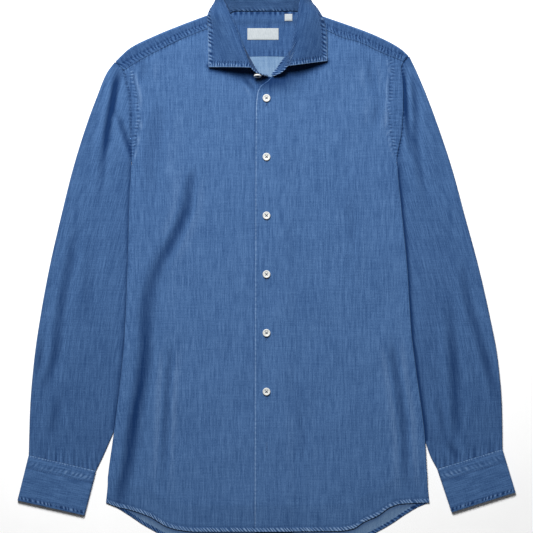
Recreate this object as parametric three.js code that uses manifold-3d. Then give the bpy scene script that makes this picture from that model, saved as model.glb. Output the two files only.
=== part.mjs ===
// A denim shirt laid flat on its back, buttoned down the front, with its collar standing open at the neck.
// Millimetres. X runs across the shirt with the wearer's left at +X, Y from hem to collar, Z up.
// Drawn with x = 0 on the line of the buttons and y = 0 near the fourth button, then centred at the end.
import * as THREE from 'three';
import { mergeVertices } from 'three/addons/utils/BufferGeometryUtils.js';
import Module from 'manifold-3d';

const wasm = await Module();
wasm.setup();

// Cloth, and how loosely it lies
const CLOTH = 1.2;
const DOUBLE_CLOTH = 1.6;
const SEAM_GAP = 0.3;
const LOFT = 2.8;
const LAYER_TOP = CLOTH + LOFT + CLOTH;
const CLOSED_LOW = CLOTH + SEAM_GAP;
const SIDE_ROLL = 18;
const HEM_FALL = 40;
const UNDERARM_Y = 163;
const UNDERARM_BLEND = 30;
const PLACE_PASSES = 4;

// Front overlap and buttons
const UNDER_EDGE = 17;
const OVERLAP_STEP = CLOTH + SEAM_GAP;
const OVERLAP_FADE_START = 28;
const OVERLAP_FADE = 20;
const BUTTON_PROFILE = [
  { radius: 0, height: 0 },
  { radius: 4.3, height: 0 },
  { radius: 5.5, height: 0.6 },
  { radius: 5.75, height: 1.3 },
  { radius: 5.4, height: 2.2 },
  { radius: 4.7, height: 2.6 },
  { radius: 3.9, height: 2 },
  { radius: 0, height: 1.8 },
];
const BUTTON_SIDES = 16;
const BUTTON_HOLE_RADIUS = 0.8;
const BUTTON_HOLE_LENGTH = 10.4;
const BUTTON_HOLE_SIDES = 6;
const BUTTON_HOLE_OFFSET = 1.35;
const BUTTON_COUNT = 6;
const TOP_BUTTON_Y = 257;
const BUTTON_PITCH = 88;

// Yoke
const YOKE_SEAM_Y = 320;
const YOKE_SEAM_DROP = 35;
const YOKE_HALF_WIDTH = 206;
const RIGHT_YOKE_END = -208;
const LEFT_YOKE_END = 202;
const RIGHT_FOLD_END = -225.8;
const LEFT_FOLD_END = 212.3;
const NECK_Y = 387.3;
const NECK_RIGHT = -58;
const NECK_LEFT = 56;
const LEAF_LIFT = DOUBLE_CLOTH + 2 * SEAM_GAP;
const LEAF_RISE_START = 366;
const LEAF_RISE_END = 376;
const LEAF_HALF_WIDTH = 92;
const LEAF_RISE_HALF_WIDTH = 108;
const YOKE_BACK_SHARES = [0, 0.35, 0.7, 0.84, 1];
const FOLD_ANGLES = [-45, 0, 45, 90];
const YOKE_STRIP_SHARES = [0.5, 1];

// Sleeves and cuffs
const SIDE_CLEARANCE = 0.5;
const BACK_INSET = 0.2;
const UNDERARM_TOP = 3.4;
const INNER_FALL_START = 0.7;
const INNER_FALL_LENGTH = 0.1;
const ARMHOLE_BOW_LENGTH = 0.3;
const FOLD_MARGIN = 0.15;
const CUFF_TOP = 6.4;

// The body's outer edges from the shoulder ends down the armholes and side seams
const SIDE_ROWS = [
  { y: 321, right: -229, left: 213.3 },
  { y: 312.5, right: -226.8, left: 206 },
  { y: 302, right: -215, left: 202 },
  { y: 282, right: -209, left: 204.5 },
  { y: 254, right: -203, left: 205 },
  { y: 210, right: -202, left: 203 },
  { y: 163, right: -202, left: 195.5 },
  { y: 104, right: -205, left: 200.5 },
  { y: 8, right: -207.5, left: 210 },
  { y: -97, right: -212, left: 217 },
  { y: -149, right: -216.5, left: 223.5 },
  { y: -255, right: -229.5, left: 237 },
  { y: -298, right: -235.5, left: 239.5 },
  { y: -350, right: -241, left: 244.5 },
];

// The shoulder folds, and below each the seam where the yoke meets the front
const SHOULDER_ROWS = [
  { x: -226.8, y: 312.5 },
  { x: -205, y: 332.3 },
  { x: -169, y: 350.3 },
  { x: -125, y: 368.3 },
  { x: -88, y: 381.8 },
  { x: -60, y: 391 },
  { x: 57, y: 391 },
  { x: 83, y: 380.6 },
  { x: 119, y: 368.3 },
  { x: 166, y: 350.3 },
  { x: 200, y: 332.3 },
  { x: 213.3, y: 321 },
];
const RIGHT_TOP_ROWS = [
  { x: -213.5, y: 299 },
  { x: -195, y: 311 },
  { x: -152, y: 334 },
  { x: -127, y: 346 },
  { x: -92, y: 360 },
  { x: -58, y: 371 },
  { x: -50, y: 359 },
  { x: -33, y: 330 },
  { x: -17.5, y: 302.5 },
  { x: -12, y: 295 },
  { x: -6, y: 291.5 },
  { x: 1, y: 290.5 },
  { x: 17, y: 286 },
];
const LEFT_TOP_ROWS = [
  { x: 9, y: 290.5 },
  { x: 16, y: 301.5 },
  { x: 23, y: 312 },
  { x: 38, y: 330 },
  { x: 49, y: 357 },
  { x: 56, y: 371 },
  { x: 91, y: 358.5 },
  { x: 111.5, y: 349 },
  { x: 142, y: 340 },
  { x: 167, y: 328 },
  { x: 182, y: 321.5 },
  { x: 205.5, y: 312 },
];

// The wearer's left front falls open a little above the top button
const OVER_EDGE_ROWS = [
  { y: 291, x: 9 },
  { y: 282, x: 0 },
  { y: 274, x: -10.5 },
  { y: 263, x: -14.5 },
  { y: 240, x: -16.5 },
  { y: -394, x: -18 },
];

// Hems, the back one longer than the front
const FRONT_HEM_ROWS = [
  { x: -241, y: -350 },
  { x: -226, y: -356 },
  { x: -205, y: -361 },
  { x: -175, y: -371.5 },
  { x: -151, y: -385.5 },
  { x: -133, y: -391 },
  { x: -104, y: -394 },
  { x: 106, y: -393 },
  { x: 130, y: -389.5 },
  { x: 146, y: -379.5 },
  { x: 167, y: -370 },
  { x: 187, y: -356.5 },
  { x: 203, y: -352 },
  { x: 244.5, y: -350 },
];
const BACK_HEM_ROWS = [
  { x: 0, y: -424 },
  { x: 80, y: -423 },
  { x: 115, y: -417 },
  { x: 140, y: -408 },
  { x: 165, y: -395 },
  { x: 187, y: -382.5 },
  { x: 207, y: -369 },
  { x: 229, y: -356 },
  { x: 245, y: -350 },
];

// Where the yoke seam and the fronts' upper edges have their grid lines
const RIGHT_SEAM_COLUMNS = [-213.5, -203, -188, -170, -152, -127, -100, -78, NECK_RIGHT];
const LEFT_SEAM_COLUMNS = [NECK_LEFT, 76, 91, 111.5, 142, 167, 182, 195, 205.5];
const RIGHT_NECK_COLUMNS = [-50, -33, -17.5, -6, 5, UNDER_EDGE];
const LEFT_NECK_COLUMNS = [9, 16, 23, 30, 38, 49];
const YOKE_CENTRE_COLUMNS = [-38, -19, 0, 19, 38];
const FRONT_SIDE_HEIGHTS = [295, 282, 270, 254, 210, 163, 104, 56, 8, -45, -97, -149, -202, -255, -298, -325];
const BACK_SIDE_HEIGHTS = [254, 210, 163, 104, 8, -97, -149, -255, -298];

// The largest folds, each a trough along a bent line
const FRONT_FOLDS = [
  { depth: 1.7, width: 14, path: [[-109, 136], [-139, 41], [-164, 4], [-185, -91]] },
  { depth: 1.7, width: 14, path: [[-185, -91], [-192, -226], [-209, -316]] },
  { depth: 1.2, width: 10, path: [[-146, -131], [-147, -200], [-155, -287]] },
  { depth: 1.2, width: 12, path: [[184, -131], [199, -209], [206, -287]] },
  { depth: 1.0, width: 14, path: [[160, 313], [166, 244], [157, 205]] },
];
const RIGHT_SLEEVE_FOLDS = [
  { depth: 1.8, width: 9, path: [[-222, 280], [-239, 205], [-245, 92]] },
  { depth: 1.5, width: 10, path: [[-292, 47], [-313, -52]] },
  { depth: 1.5, width: 10, path: [[-299, -70], [-314, -125], [-340, -179]] },
];
const LEFT_SLEEVE_FOLDS = [
  { depth: 1.8, width: 9, path: [[212, 280], [214, 236], [223, 182]] },
  { depth: 1.4, width: 10, path: [[295, 13], [316, -79], [331, -125], [350, -217]] },
  { depth: 1.2, width: 12, path: [[272, -56], [283, -182], [274, -217]] },
];

// Each sleeve's outer edge, and its free inner edge below the side of the body
const RIGHT_SLEEVE_OUTER = [
  { y: 311, x: -228.2 },
  { y: 296, x: -239.3 },
  { y: 260, x: -254.3 },
  { y: 224, x: -267.8 },
  { y: 152, x: -290.3 },
  { y: 80, x: -308.3 },
  { y: 8, x: -324.8 },
  { y: -64, x: -338.3 },
  { y: -136, x: -348.8 },
  { y: -208, x: -354.8 },
  { y: -278.3, x: -356.9 },
];
const LEFT_SLEEVE_OUTER = [
  { y: 319.5, x: 214.6 },
  { y: 296, x: 225.8 },
  { y: 260, x: 240.8 },
  { y: 224, x: 254.3 },
  { y: 152, x: 278.3 },
  { y: 80, x: 297.8 },
  { y: 8, x: 317.3 },
  { y: -64, x: 333.8 },
  { y: -136, x: 347.3 },
  { y: -208, x: 353.3 },
  { y: -269.3, x: 354.2 },
];
const RIGHT_SLEEVE_FREE = [
  { y: -241.5, x: -228.4 },
  { y: -280, x: -245.3 },
  { y: -301.7, x: -255.8 },
];
const LEFT_SLEEVE_FREE = [
  { y: -258, x: 238.2 },
  { y: -280, x: 246 },
  { y: -299, x: 256.1 },
];
const UNDERARM_HEIGHTS = [163, 145, 125, 104, 72, 40, 8, -27, -62, -97, -123, -149, -184, -219, -253, -280];

// Angles round a flattened tube's folds, and shares of the way across its lower and upper layers
const OUTER_FOLD_ANGLES = [0, 45, 90];
const INNER_FOLD_ANGLES = [90, 45, 0, -45, -90];
const CLOSING_ANGLES = [-90, -45];
const LOWER_SHARES = [0.75, 0.5, 0.25];
const SLEEVE_TOP_SHARES = [0.09, 0.18, 0.28, 0.38, 0.48, 0.58, 0.68, 0.78, 0.88];
const CUFF_STATIONS = [0, 0.2, 0.5, 0.8, 1];
const CUFF_TOP_SHARES = [0.12, 0.3, 0.5, 0.7, 0.88];

// Each cuff's corners: its sleeve end at the outer fold, its open end there, and the same at the inner edge
const RIGHT_CUFF = [[-356.9, -278.6], [-373.8, -346.5], [-255.8, -302], [-273, -369]];
const LEFT_CUFF = [[354.2, -269.6], [373.8, -334.4], [256.1, -299.3], [277.8, -364.5]];

// The collar round the neck, from the wearer's right front to the left. Each row is one section: seam is the
// foot of the stand and roll its top. The leaf runs from roll to edge, bent towards over and under.
const RIGHT_STAND_END = [
  { seam: [1, 291.5, 5.9], roll: [2.3, 290.6, 14] },
  { seam: [-6, 292, 5.9], roll: [-6.5, 291.5, 21] },
  { seam: [-12.5, 296, 5.9], roll: [-14.3, 293.6, 24] },
];
const COLLAR_ROWS = [
  {
    seam: [-17.5, 303.5, 5.9], roll: [-22.7, 300.8, 25], over: [-42, 301.5, 28],
    under: [-66, 302.4, 16], edge: [-86.6, 303, 9.5],
  },
  {
    seam: [-33, 331, 5.9], roll: [-34, 329, 27], over: [-52, 331, 30],
    under: [-71, 333, 17], edge: [-87.2, 334, 9.5],
  },
  {
    seam: [-50, 360, 5.9], roll: [-46, 361.5, 28], over: [-62, 362, 30],
    under: [-77, 362, 18], edge: [-87.6, 362, 9.5],
  },
  {
    seam: [-57, 376, 5.9], roll: [-54.5, 381, 28], over: [-68, 384, 29],
    under: [-85, 385, 19], edge: [-87.8, 382, 8],
  },
  {
    seam: [-55.5, 383.5, 4.9], roll: [-61.5, 395.5, 27], over: [-72, 401, 27],
    under: [-84, 400, 6], edge: [-79, 394, 1],
  },
  {
    seam: [-49, 387.3, 4.2], roll: [-66, 409, 26], over: [-74, 421, 22],
    under: [-79, 404, -4], edge: [-62, 385, 0.8],
  },
  {
    seam: [-27, 387.8, 4.2], roll: [-36, 419, 25], over: [-40, 437, 20],
    under: [-37, 405, -4], edge: [-30, 379, 0.8],
  },
  {
    seam: [26, 387.8, 4.2], roll: [24, 419, 25], over: [27, 437, 20],
    under: [26, 405, -4], edge: [24, 379, 0.8],
  },
  {
    seam: [46, 387.3, 4.2], roll: [50.5, 409, 26], over: [63, 421, 22],
    under: [71, 404, -4], edge: [54, 385, 0.8],
  },
  {
    seam: [53, 383.5, 4.9], roll: [49.3, 396, 27], over: [62, 401, 27],
    under: [74, 400, 5], edge: [70, 395, 0.8],
  },
  {
    seam: [55.5, 376, 5.9], roll: [46.8, 381, 28], over: [60, 384, 29],
    under: [79, 384, 19], edge: [82.5, 381, 8],
  },
  {
    seam: [49, 358, 6], roll: [42.5, 358, 28], over: [58, 358, 30],
    under: [78, 357.5, 18], edge: [89.3, 357, 9.5],
  },
  {
    seam: [38, 331, 7], roll: [38, 331, 27], over: [56, 332, 30],
    under: [76, 333.5, 17], edge: [90.3, 334, 9.5],
  },
  {
    seam: [23, 313, 7.5], roll: [31.5, 303.3, 25], over: [50, 305, 28],
    under: [72, 309.5, 16], edge: [90.9, 312.2, 9.5],
  },
];
const LEFT_STAND_END = [
  { seam: [15.8, 302.3, 7.5], roll: [23.3, 294.6, 21] },
  { seam: [7, 292.5, 7.5], roll: [11.3, 289.4, 13] },
];
const COLLAR_STEPS_PER_ROW = 2;
const LEAF_SHARES = [0, 0.12, 0.28, 0.46, 0.64, 0.82, 1];
const STAND_SHARES = [0, 0.5, 1];
const ROLL_SEAT = 1.5;

// Label, size tab and the loose button on the stand
const LABEL_SIZE = [46.8, 17.4, 0.6];
const LABEL_CENTRE = [-5.3, 353.6];
const TAB_SIZE = [11.5, 10.5, 0.6];
const TAB_CENTRE = [33, 378.2];
const STAND_BUTTON_PLACE = [-13.2, 290.7, 15.2];
const STAND_BUTTON_TILT = 75;
const TAB_ROW_SHARES = [-0.5, -0.25, 0, 0.25, 0.5];
const MERGE_DISTANCE = 1e-4;

// Finishes, as colour, roughness and metalness
const DENIM = { color: 0x436595, roughness: 0.9, metalness: 0 };
const DENIM_INSIDE = { color: 0x6f90b8, roughness: 0.92, metalness: 0 };
const BUTTON_FINISH = { color: 0xe8e6df, roughness: 0.35, metalness: 0 };
const LABEL_FINISH = { color: 0xd5dee3, roughness: 0.7, metalness: 0 };

const { lerp, smoothstep, clamp, degToRad } = THREE.MathUtils;

// Reads a table as the bent line through its rows, whichever way its rows run.
function readTable(table, key, at, value) {
  const rows = [...table].sort((a, b) => a[key] - b[key]);
  const next = rows.findIndex((row) => row[key] >= at);
  if (next === 0) {
    return rows[0][value];
  }
  if (next < 0) {
    return rows[rows.length - 1][value];
  }
  const before = rows[next - 1];
  const share = (at - before[key]) / (rows[next][key] - before[key]);
  return lerp(before[value], rows[next][value], share);
}

const rightSide = (y) => readTable(SIDE_ROWS, 'y', y, 'right');
const leftSide = (y) => readTable(SIDE_ROWS, 'y', y, 'left');
const overEdge = (y) => readTable(OVER_EDGE_ROWS, 'y', y, 'x');
const frontHem = (x) => readTable(FRONT_HEM_ROWS, 'x', x, 'y');
const backHem = (x) => readTable(BACK_HEM_ROWS, 'x', Math.abs(x), 'y');
const shoulderFold = (x) => readTable(SHOULDER_ROWS, 'x', x, 'y');
const rightTop = (x) => readTable(RIGHT_TOP_ROWS, 'x', x, 'y');
const leftTop = (x) => readTable(LEFT_TOP_ROWS, 'x', x, 'y');
const backSeam = (x) => YOKE_SEAM_Y - YOKE_SEAM_DROP * (x / YOKE_HALF_WIDTH) ** 2;

// Builds a closed wall between an outer and an inner grid of points. A ring's last column joins its first.
// Where hasCell says no, the wall has an opening, and every open side gets an edge of its own.
function wallGeometry(outer, inner, { ring = false, hasCell = () => true } = {}) {
  const columns = outer[0].length;
  const innerStart = outer.length * columns;
  const positions = [...outer.flat(), ...inner.flat()].flatMap((point) => point.toArray());
  const triangles = [];
  const openSides = new Map();
  const addQuad = (a, b, c, d) => triangles.push(a, b, c, a, c, d);
  const cellColumns = ring ? columns : columns - 1;
  for (let row = 0; row < outer.length - 1; row += 1) {
    for (let column = 0; column < cellColumns; column += 1) {
      if (!hasCell(row, column)) {
        continue;
      }
      const next = (column + 1) % columns;
      const here = row * columns;
      const below = here + columns;
      const corners = [here + column, here + next, below + next, below + column];
      addQuad(...corners);
      addQuad(...corners.map((corner) => corner + innerStart).reverse());
      corners.forEach((corner, index) => {
        const following = corners[(index + 1) % corners.length];
        if (!openSides.delete(`${following} ${corner}`)) {
          openSides.set(`${corner} ${following}`, [corner, following]);
        }
      });
    }
  }
  openSides.forEach(([from, to]) => addQuad(to, from, from + innerStart, to + innerStart));
  const geometry = new THREE.BufferGeometry();
  geometry.setAttribute('position', new THREE.Float32BufferAttribute(positions, 3));
  geometry.setIndex(triangles);
  return facingOut(geometry);
}

// Turns a closed geometry's faces outward, by the sign of its volume.
function facingOut(geometry) {
  const index = geometry.index.array;
  const places = geometry.attributes.position;
  const corner = (number) => new THREE.Vector3().fromBufferAttribute(places, index[number]);
  let volume = 0;
  for (let i = 0; i < index.length; i += 3) {
    volume += corner(i).dot(corner(i + 1).cross(corner(i + 2)));
  }
  if (volume < 0) {
    geometry.setIndex([...index].reverse());
  }
  geometry.computeVertexNormals();
  return geometry;
}

// A part of the shirt, named and finished
function piece(name, geometry, finish) {
  const mesh = new THREE.Mesh(geometry, new THREE.MeshStandardMaterial(finish));
  mesh.name = name;
  return mesh;
}

function distanceToPath(x, y, path) {
  const place = new THREE.Vector2(x, y);
  let nearest = Infinity;
  for (let i = 1; i < path.length; i += 1) {
    const start = new THREE.Vector2(...path[i - 1]);
    const run = new THREE.Vector2(...path[i]).sub(start);
    const share = clamp(place.clone().sub(start).dot(run) / run.lengthSq(), 0, 1);
    nearest = Math.min(nearest, place.distanceTo(start.addScaledVector(run, share)));
  }
  return nearest;
}

function foldDepth(x, y, folds) {
  const depths = folds.map(({ depth, width, path }) => {
    const away = distanceToPath(x, y, path) / width;
    return depth * Math.exp(-(away ** 2));
  });
  return Math.max(...depths);
}

// Height of the lower face of the front layer over the surface. It comes down on the back at the side
// seams and the hem, and stays up where the armholes and the yoke hold it.
function frontLow(x, y) {
  const fromSide = Math.min(x - rightSide(y), leftSide(y) - x);
  const besideArmhole = smoothstep(y, UNDERARM_Y - UNDERARM_BLEND, UNDERARM_Y);
  const sideLift = Math.max(smoothstep(fromSide, 0, SIDE_ROLL), besideArmhole);
  const hemLift = clamp((y - frontHem(x)) / HEM_FALL, 0, 1);
  const lift = sideLift * hemLift;
  return CLOSED_LOW + (LOFT - SEAM_GAP - foldDepth(x, y, FRONT_FOLDS)) * lift;
}

function overLow(x, y) {
  const step = OVERLAP_STEP * (1 - smoothstep(x, OVERLAP_FADE_START, OVERLAP_FADE_START + OVERLAP_FADE));
  return frontLow(x, y) + step;
}

// Plan places of a panel's grid, which follows its two long edges, its upper edge and its hem. Its rows meet
// the side seam at the given heights, so that the neighbour there can have corners at the same places.
function panelPlaces({ topColumns, top, hem, start, end, seamX, heights }) {
  const last = topColumns.length - 1;
  const sideTop = top(seamX);
  const sideHem = hem(seamX);
  const shares = heights.filter((y) => y < sideTop).map((y) => (sideTop - y) / (sideTop - sideHem));
  return [0, ...shares, 1].map((share) => topColumns.map((topX, column) => {
    const topY = top(topX);
    const topShare = (topX - start(topY)) / (end(topY) - start(topY));
    const across = lerp(topShare, column / last, smoothstep(share, 0, 1));
    let x = topX;
    let y = topY;
    for (let pass = 0; pass < PLACE_PASSES; pass += 1) {
      y = lerp(topY, hem(x), share);
      x = share === 0 ? topX : lerp(start(y), end(y), across);
    }
    return new THREE.Vector2(x, y);
  }));
}

// A panel as a wall that stands a cloth's thickness over its lower face
function panelWall(places, low) {
  const lower = places.map((row) => row.map(({ x, y }) => new THREE.Vector3(x, y, low(x, y))));
  const upper = lower.map((row) => row.map((point) => point.clone().setZ(point.z + CLOTH)));
  return wallGeometry(upper, lower);
}

function frontRight() {
  const places = panelPlaces({
    topColumns: [...RIGHT_SEAM_COLUMNS, ...RIGHT_NECK_COLUMNS],
    top: (x) => rightTop(x) - SEAM_GAP,
    hem: frontHem,
    start: rightSide,
    end: () => UNDER_EDGE,
    seamX: RIGHT_SEAM_COLUMNS[0],
    heights: FRONT_SIDE_HEIGHTS,
  });
  return piece('front_right', panelWall(places, frontLow), DENIM);
}

function frontLeft() {
  const places = panelPlaces({
    topColumns: [...LEFT_NECK_COLUMNS, ...LEFT_SEAM_COLUMNS],
    top: (x) => leftTop(x) - SEAM_GAP,
    hem: frontHem,
    start: overEdge,
    end: leftSide,
    seamX: LEFT_SEAM_COLUMNS[LEFT_SEAM_COLUMNS.length - 1],
    heights: FRONT_SIDE_HEIGHTS,
  });
  return piece('front_left', panelWall(places, overLow), DENIM);
}

// Plan places of the yoke's grid lines at the back seam, on the shoulder fold and at the front seam
function yokeColumns() {
  const spread = (seamX, neck, seamEnd, foldEnd, backEnd) => {
    const share = (seamX - neck) / (seamEnd - neck);
    return { backX: lerp(neck, backEnd, share), foldX: lerp(neck, foldEnd, share), seamX };
  };
  const rightEnds = [RIGHT_SEAM_COLUMNS[0], RIGHT_FOLD_END, RIGHT_YOKE_END];
  const leftEnds = [LEFT_SEAM_COLUMNS[LEFT_SEAM_COLUMNS.length - 1], LEFT_FOLD_END, LEFT_YOKE_END];
  const right = RIGHT_SEAM_COLUMNS.map((x) => spread(x, NECK_RIGHT, ...rightEnds));
  const centre = YOKE_CENTRE_COLUMNS.map((x) => ({ backX: x, foldX: x, seamX: null }));
  const left = LEFT_SEAM_COLUMNS.map((x) => spread(x, NECK_LEFT, ...leftEnds));
  return [...right, ...centre, ...left];
}

// How far the yoke's back rises to pass over the collar leaf beneath it
function leafRise(x, y) {
  const overLeaf = 1 - smoothstep(Math.abs(x), LEAF_HALF_WIDTH, LEAF_RISE_HALF_WIDTH);
  return LEAF_LIFT * smoothstep(y, LEAF_RISE_START, LEAF_RISE_END) * overLeaf;
}

function yoke() {
  const sections = yokeColumns().map(({ backX, foldX, seamX }) => {
    const atNeck = seamX === null;
    const foldY = shoulderFold(foldX);
    const rise = leafRise(foldX, foldY);
    const radius = (LAYER_TOP - rise) / 2;
    const backEnd = atNeck ? NECK_Y : foldY - radius;
    const frontTop = foldX < 0 ? rightTop : leftTop;
    const seamY = atNeck ? NECK_Y : frontTop(seamX);
    const section = [];
    YOKE_BACK_SHARES.forEach((share) => {
      const x = lerp(backX, foldX, share);
      const y = lerp(backSeam(backX) + SEAM_GAP, backEnd, share);
      const z = leafRise(x, y);
      section.push({ outer: [x, y, z], inner: [x, y, z + CLOTH] });
    });
    FOLD_ANGLES.forEach((angle) => {
      const across = Math.cos(degToRad(angle));
      const up = Math.sin(degToRad(angle));
      const at = (size) => [foldX, foldY - radius + size * across, rise + radius + size * up];
      section.push({ outer: at(radius), inner: at(radius - CLOTH) });
    });
    YOKE_STRIP_SHARES.forEach((share) => {
      const x = atNeck ? foldX : lerp(foldX, seamX, share);
      const y = lerp(foldY - radius, seamY, share);
      section.push({ outer: [x, y, LAYER_TOP], inner: [x, y, LAYER_TOP - CLOTH] });
    });
    return section;
  });
  const grid = (face) => sections.map((section) => section.map((place) => new THREE.Vector3(...place[face])));
  const firstNeckCell = RIGHT_SEAM_COLUMNS.length - 1;
  const lastNeckCell = firstNeckCell + YOKE_CENTRE_COLUMNS.length;
  const backCells = YOKE_BACK_SHARES.length - 1;
  const hasCell = (row, column) => column < backCells || row < firstNeckCell || row > lastNeckCell;
  return piece('yoke', wallGeometry(grid('outer'), grid('inner'), { hasCell }), DENIM);
}

// The back lies flat on the surface from the yoke seam to the tail.
function back() {
  const places = panelPlaces({
    topColumns: yokeColumns().map(({ backX }) => backX),
    top: (x) => backSeam(x) - SEAM_GAP,
    hem: backHem,
    start: (y) => rightSide(y) + BACK_INSET,
    end: (y) => leftSide(y) - BACK_INSET,
    seamX: RIGHT_YOKE_END,
    heights: BACK_SIDE_HEIGHTS,
  });
  return piece('back', panelWall(places, () => 0), DENIM_INSIDE);
}

// One ring of a flattened tube. placeAt gives the plan place at a share of the way from the outer fold to
// the inner edge, and topAt the height of the upper layer there.
function tubeRing({ placeAt, topAt, topShares, wall }) {
  const start = placeAt(0);
  const end = placeAt(1);
  const width = start.distanceTo(end);
  const point = (share, z) => {
    const place = placeAt(share);
    return new THREE.Vector3(place.x, place.y, z);
  };
  const turn = (side, angle, inset) => {
    const radius = topAt(side) / 2;
    const reach = (radius - inset) * Math.cos(degToRad(angle));
    const inward = (radius - reach) / width;
    return point(side === 0 ? inward : 1 - inward, radius + (radius - inset) * Math.sin(degToRad(angle)));
  };
  const ringAt = (inset) => [
    ...OUTER_FOLD_ANGLES.map((angle) => turn(0, angle, inset)),
    ...topShares.map((share) => point(share, topAt(share) - inset)),
    ...INNER_FOLD_ANGLES.map((angle) => turn(1, angle, inset)),
    ...LOWER_SHARES.map((share) => point(share, inset)),
    ...CLOSING_ANGLES.map((angle) => turn(0, angle, inset)),
  ];
  return { outer: ringAt(0), inner: ringAt(wall) };
}

// A sleeve runs from the armhole, along the side of the body, to the cuff.
function sleeve({ name, outerRows, freeRows, side, outward, folds }) {
  const shoulder = outerRows[0];
  const cuffOuter = outerRows[outerRows.length - 1];
  const cuffInner = freeRows[freeRows.length - 1];
  const armhole = (share) => {
    const y = lerp(shoulder.y, UNDERARM_Y, share);
    return new THREE.Vector2(side(y) + outward * SIDE_CLEARANCE, y);
  };
  const innerEdge = (y) => {
    const x = y < freeRows[0].y ? readTable(freeRows, 'y', y, 'x') : side(y) + outward * SIDE_CLEARANCE;
    return new THREE.Vector2(x, y);
  };
  const seamLength = UNDERARM_Y - cuffInner.y;
  const stations = [...UNDERARM_HEIGHTS, cuffInner.y].map((y) => (UNDERARM_Y - y) / seamLength);
  const rings = stations.map((station) => {
    const outerY = lerp(shoulder.y, cuffOuter.y, station);
    const start = new THREE.Vector2(readTable(outerRows, 'y', outerY, 'x'), outerY);
    const end = innerEdge(lerp(UNDERARM_Y, cuffInner.y, station));
    const bowFade = (1 - clamp(station / ARMHOLE_BOW_LENGTH, 0, 1)) ** 2;
    const placeAt = (share) => {
      const straight = armhole(0).lerp(armhole(1), share);
      const bow = armhole(share).sub(straight).multiplyScalar(bowFade);
      return start.clone().lerp(end, share).add(bow);
    };
    const innerTop = lerp(LAYER_TOP, UNDERARM_TOP, smoothstep(station, 0, INNER_FALL_LENGTH));
    const topAt = (share) => {
      const place = placeAt(share);
      const height = lerp(LAYER_TOP, innerTop, smoothstep(share, INNER_FALL_START, 1));
      const open = smoothstep(share, 0, FOLD_MARGIN) * (1 - smoothstep(share, 1 - FOLD_MARGIN, 1));
      return height - foldDepth(place.x, place.y, folds) * open;
    };
    return tubeRing({ placeAt, topAt, topShares: SLEEVE_TOP_SHARES, wall: CLOTH });
  });
  const geometry = wallGeometry(rings.map((r) => r.outer), rings.map((r) => r.inner), { ring: true });
  return piece(name, geometry, DENIM);
}

// A cuff is a closed band of two layers of cloth, pressed flat.
function cuff({ name, corners }) {
  const [topOuter, endOuter, topInner, endInner] = corners.map(([x, y]) => new THREE.Vector2(x, y));
  const rings = CUFF_STATIONS.map((station) => {
    const start = topOuter.clone().lerp(endOuter, station);
    const end = topInner.clone().lerp(endInner, station);
    const placeAt = (share) => start.clone().lerp(end, share);
    return tubeRing({ placeAt, topAt: () => CUFF_TOP, topShares: CUFF_TOP_SHARES, wall: DOUBLE_CLOTH });
  });
  const geometry = wallGeometry(rings.map((r) => r.outer), rings.map((r) => r.inner), { ring: true });
  return piece(name, geometry, DENIM);
}

// Smooth places along the collar for one column of its table
function collarLine(rows, column) {
  const curve = new THREE.CatmullRomCurve3(rows.map((row) => new THREE.Vector3(...row[column])));
  return curve.getPoints((rows.length - 1) * COLLAR_STEPS_PER_ROW);
}

// Moves a grid of middle points half a wall to each side along its own normals.
function thicken(grid, wall, options) {
  const at = (row, column) => grid[clamp(row, 0, grid.length - 1)][clamp(column, 0, grid[0].length - 1)];
  const offset = (amount) => grid.map((line, row) => line.map((point, column) => {
    const along = at(row + 1, column).clone().sub(at(row - 1, column));
    const across = at(row, column + 1).clone().sub(at(row, column - 1));
    return point.clone().addScaledVector(along.cross(across).normalize(), amount);
  }));
  return wallGeometry(offset(wall / 2), offset(-wall / 2), options);
}

function collarStand() {
  const rows = [...RIGHT_STAND_END, ...COLLAR_ROWS, ...LEFT_STAND_END];
  const feet = collarLine(rows, 'seam');
  const tops = collarLine(rows, 'roll').map((point) => point.setZ(point.z - ROLL_SEAT));
  const grid = feet.map((foot, index) => STAND_SHARES.map((share) => foot.clone().lerp(tops[index], share)));
  return piece('collar_stand', thicken(grid, DOUBLE_CLOTH), DENIM);
}

function collarLeaf() {
  const columns = ['roll', 'over', 'under', 'edge'];
  const [roll, over, under, edge] = columns.map((column) => collarLine(COLLAR_ROWS, column));
  const grid = roll.map((start, index) => {
    const section = new THREE.CubicBezierCurve3(start, over[index], under[index], edge[index]);
    return LEAF_SHARES.map((share) => {
      const point = section.getPoint(share);
      return point.setZ(Math.max(point.z, DOUBLE_CLOTH / 2));
    });
  });
  return piece('collar_leaf', thicken(grid, DOUBLE_CLOTH), DENIM);
}

// Manifold solids for the button's sewing holes
function solidOf(geometry) {
  const bare = geometry.clone();
  bare.deleteAttribute('normal');
  bare.deleteAttribute('uv');
  const merged = mergeVertices(bare, MERGE_DISTANCE);
  return new wasm.Manifold(new wasm.Mesh({
    numProp: 3,
    vertProperties: new Float32Array(merged.attributes.position.array),
    triVerts: new Uint32Array(merged.index.array),
  }));
}

function geometryOf(solid) {
  const { vertProperties, triVerts } = solid.getMesh();
  const geometry = new THREE.BufferGeometry();
  geometry.setAttribute('position', new THREE.Float32BufferAttribute(vertProperties, 3));
  geometry.setIndex([...triVerts]);
  geometry.computeVertexNormals();
  return geometry;
}

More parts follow.
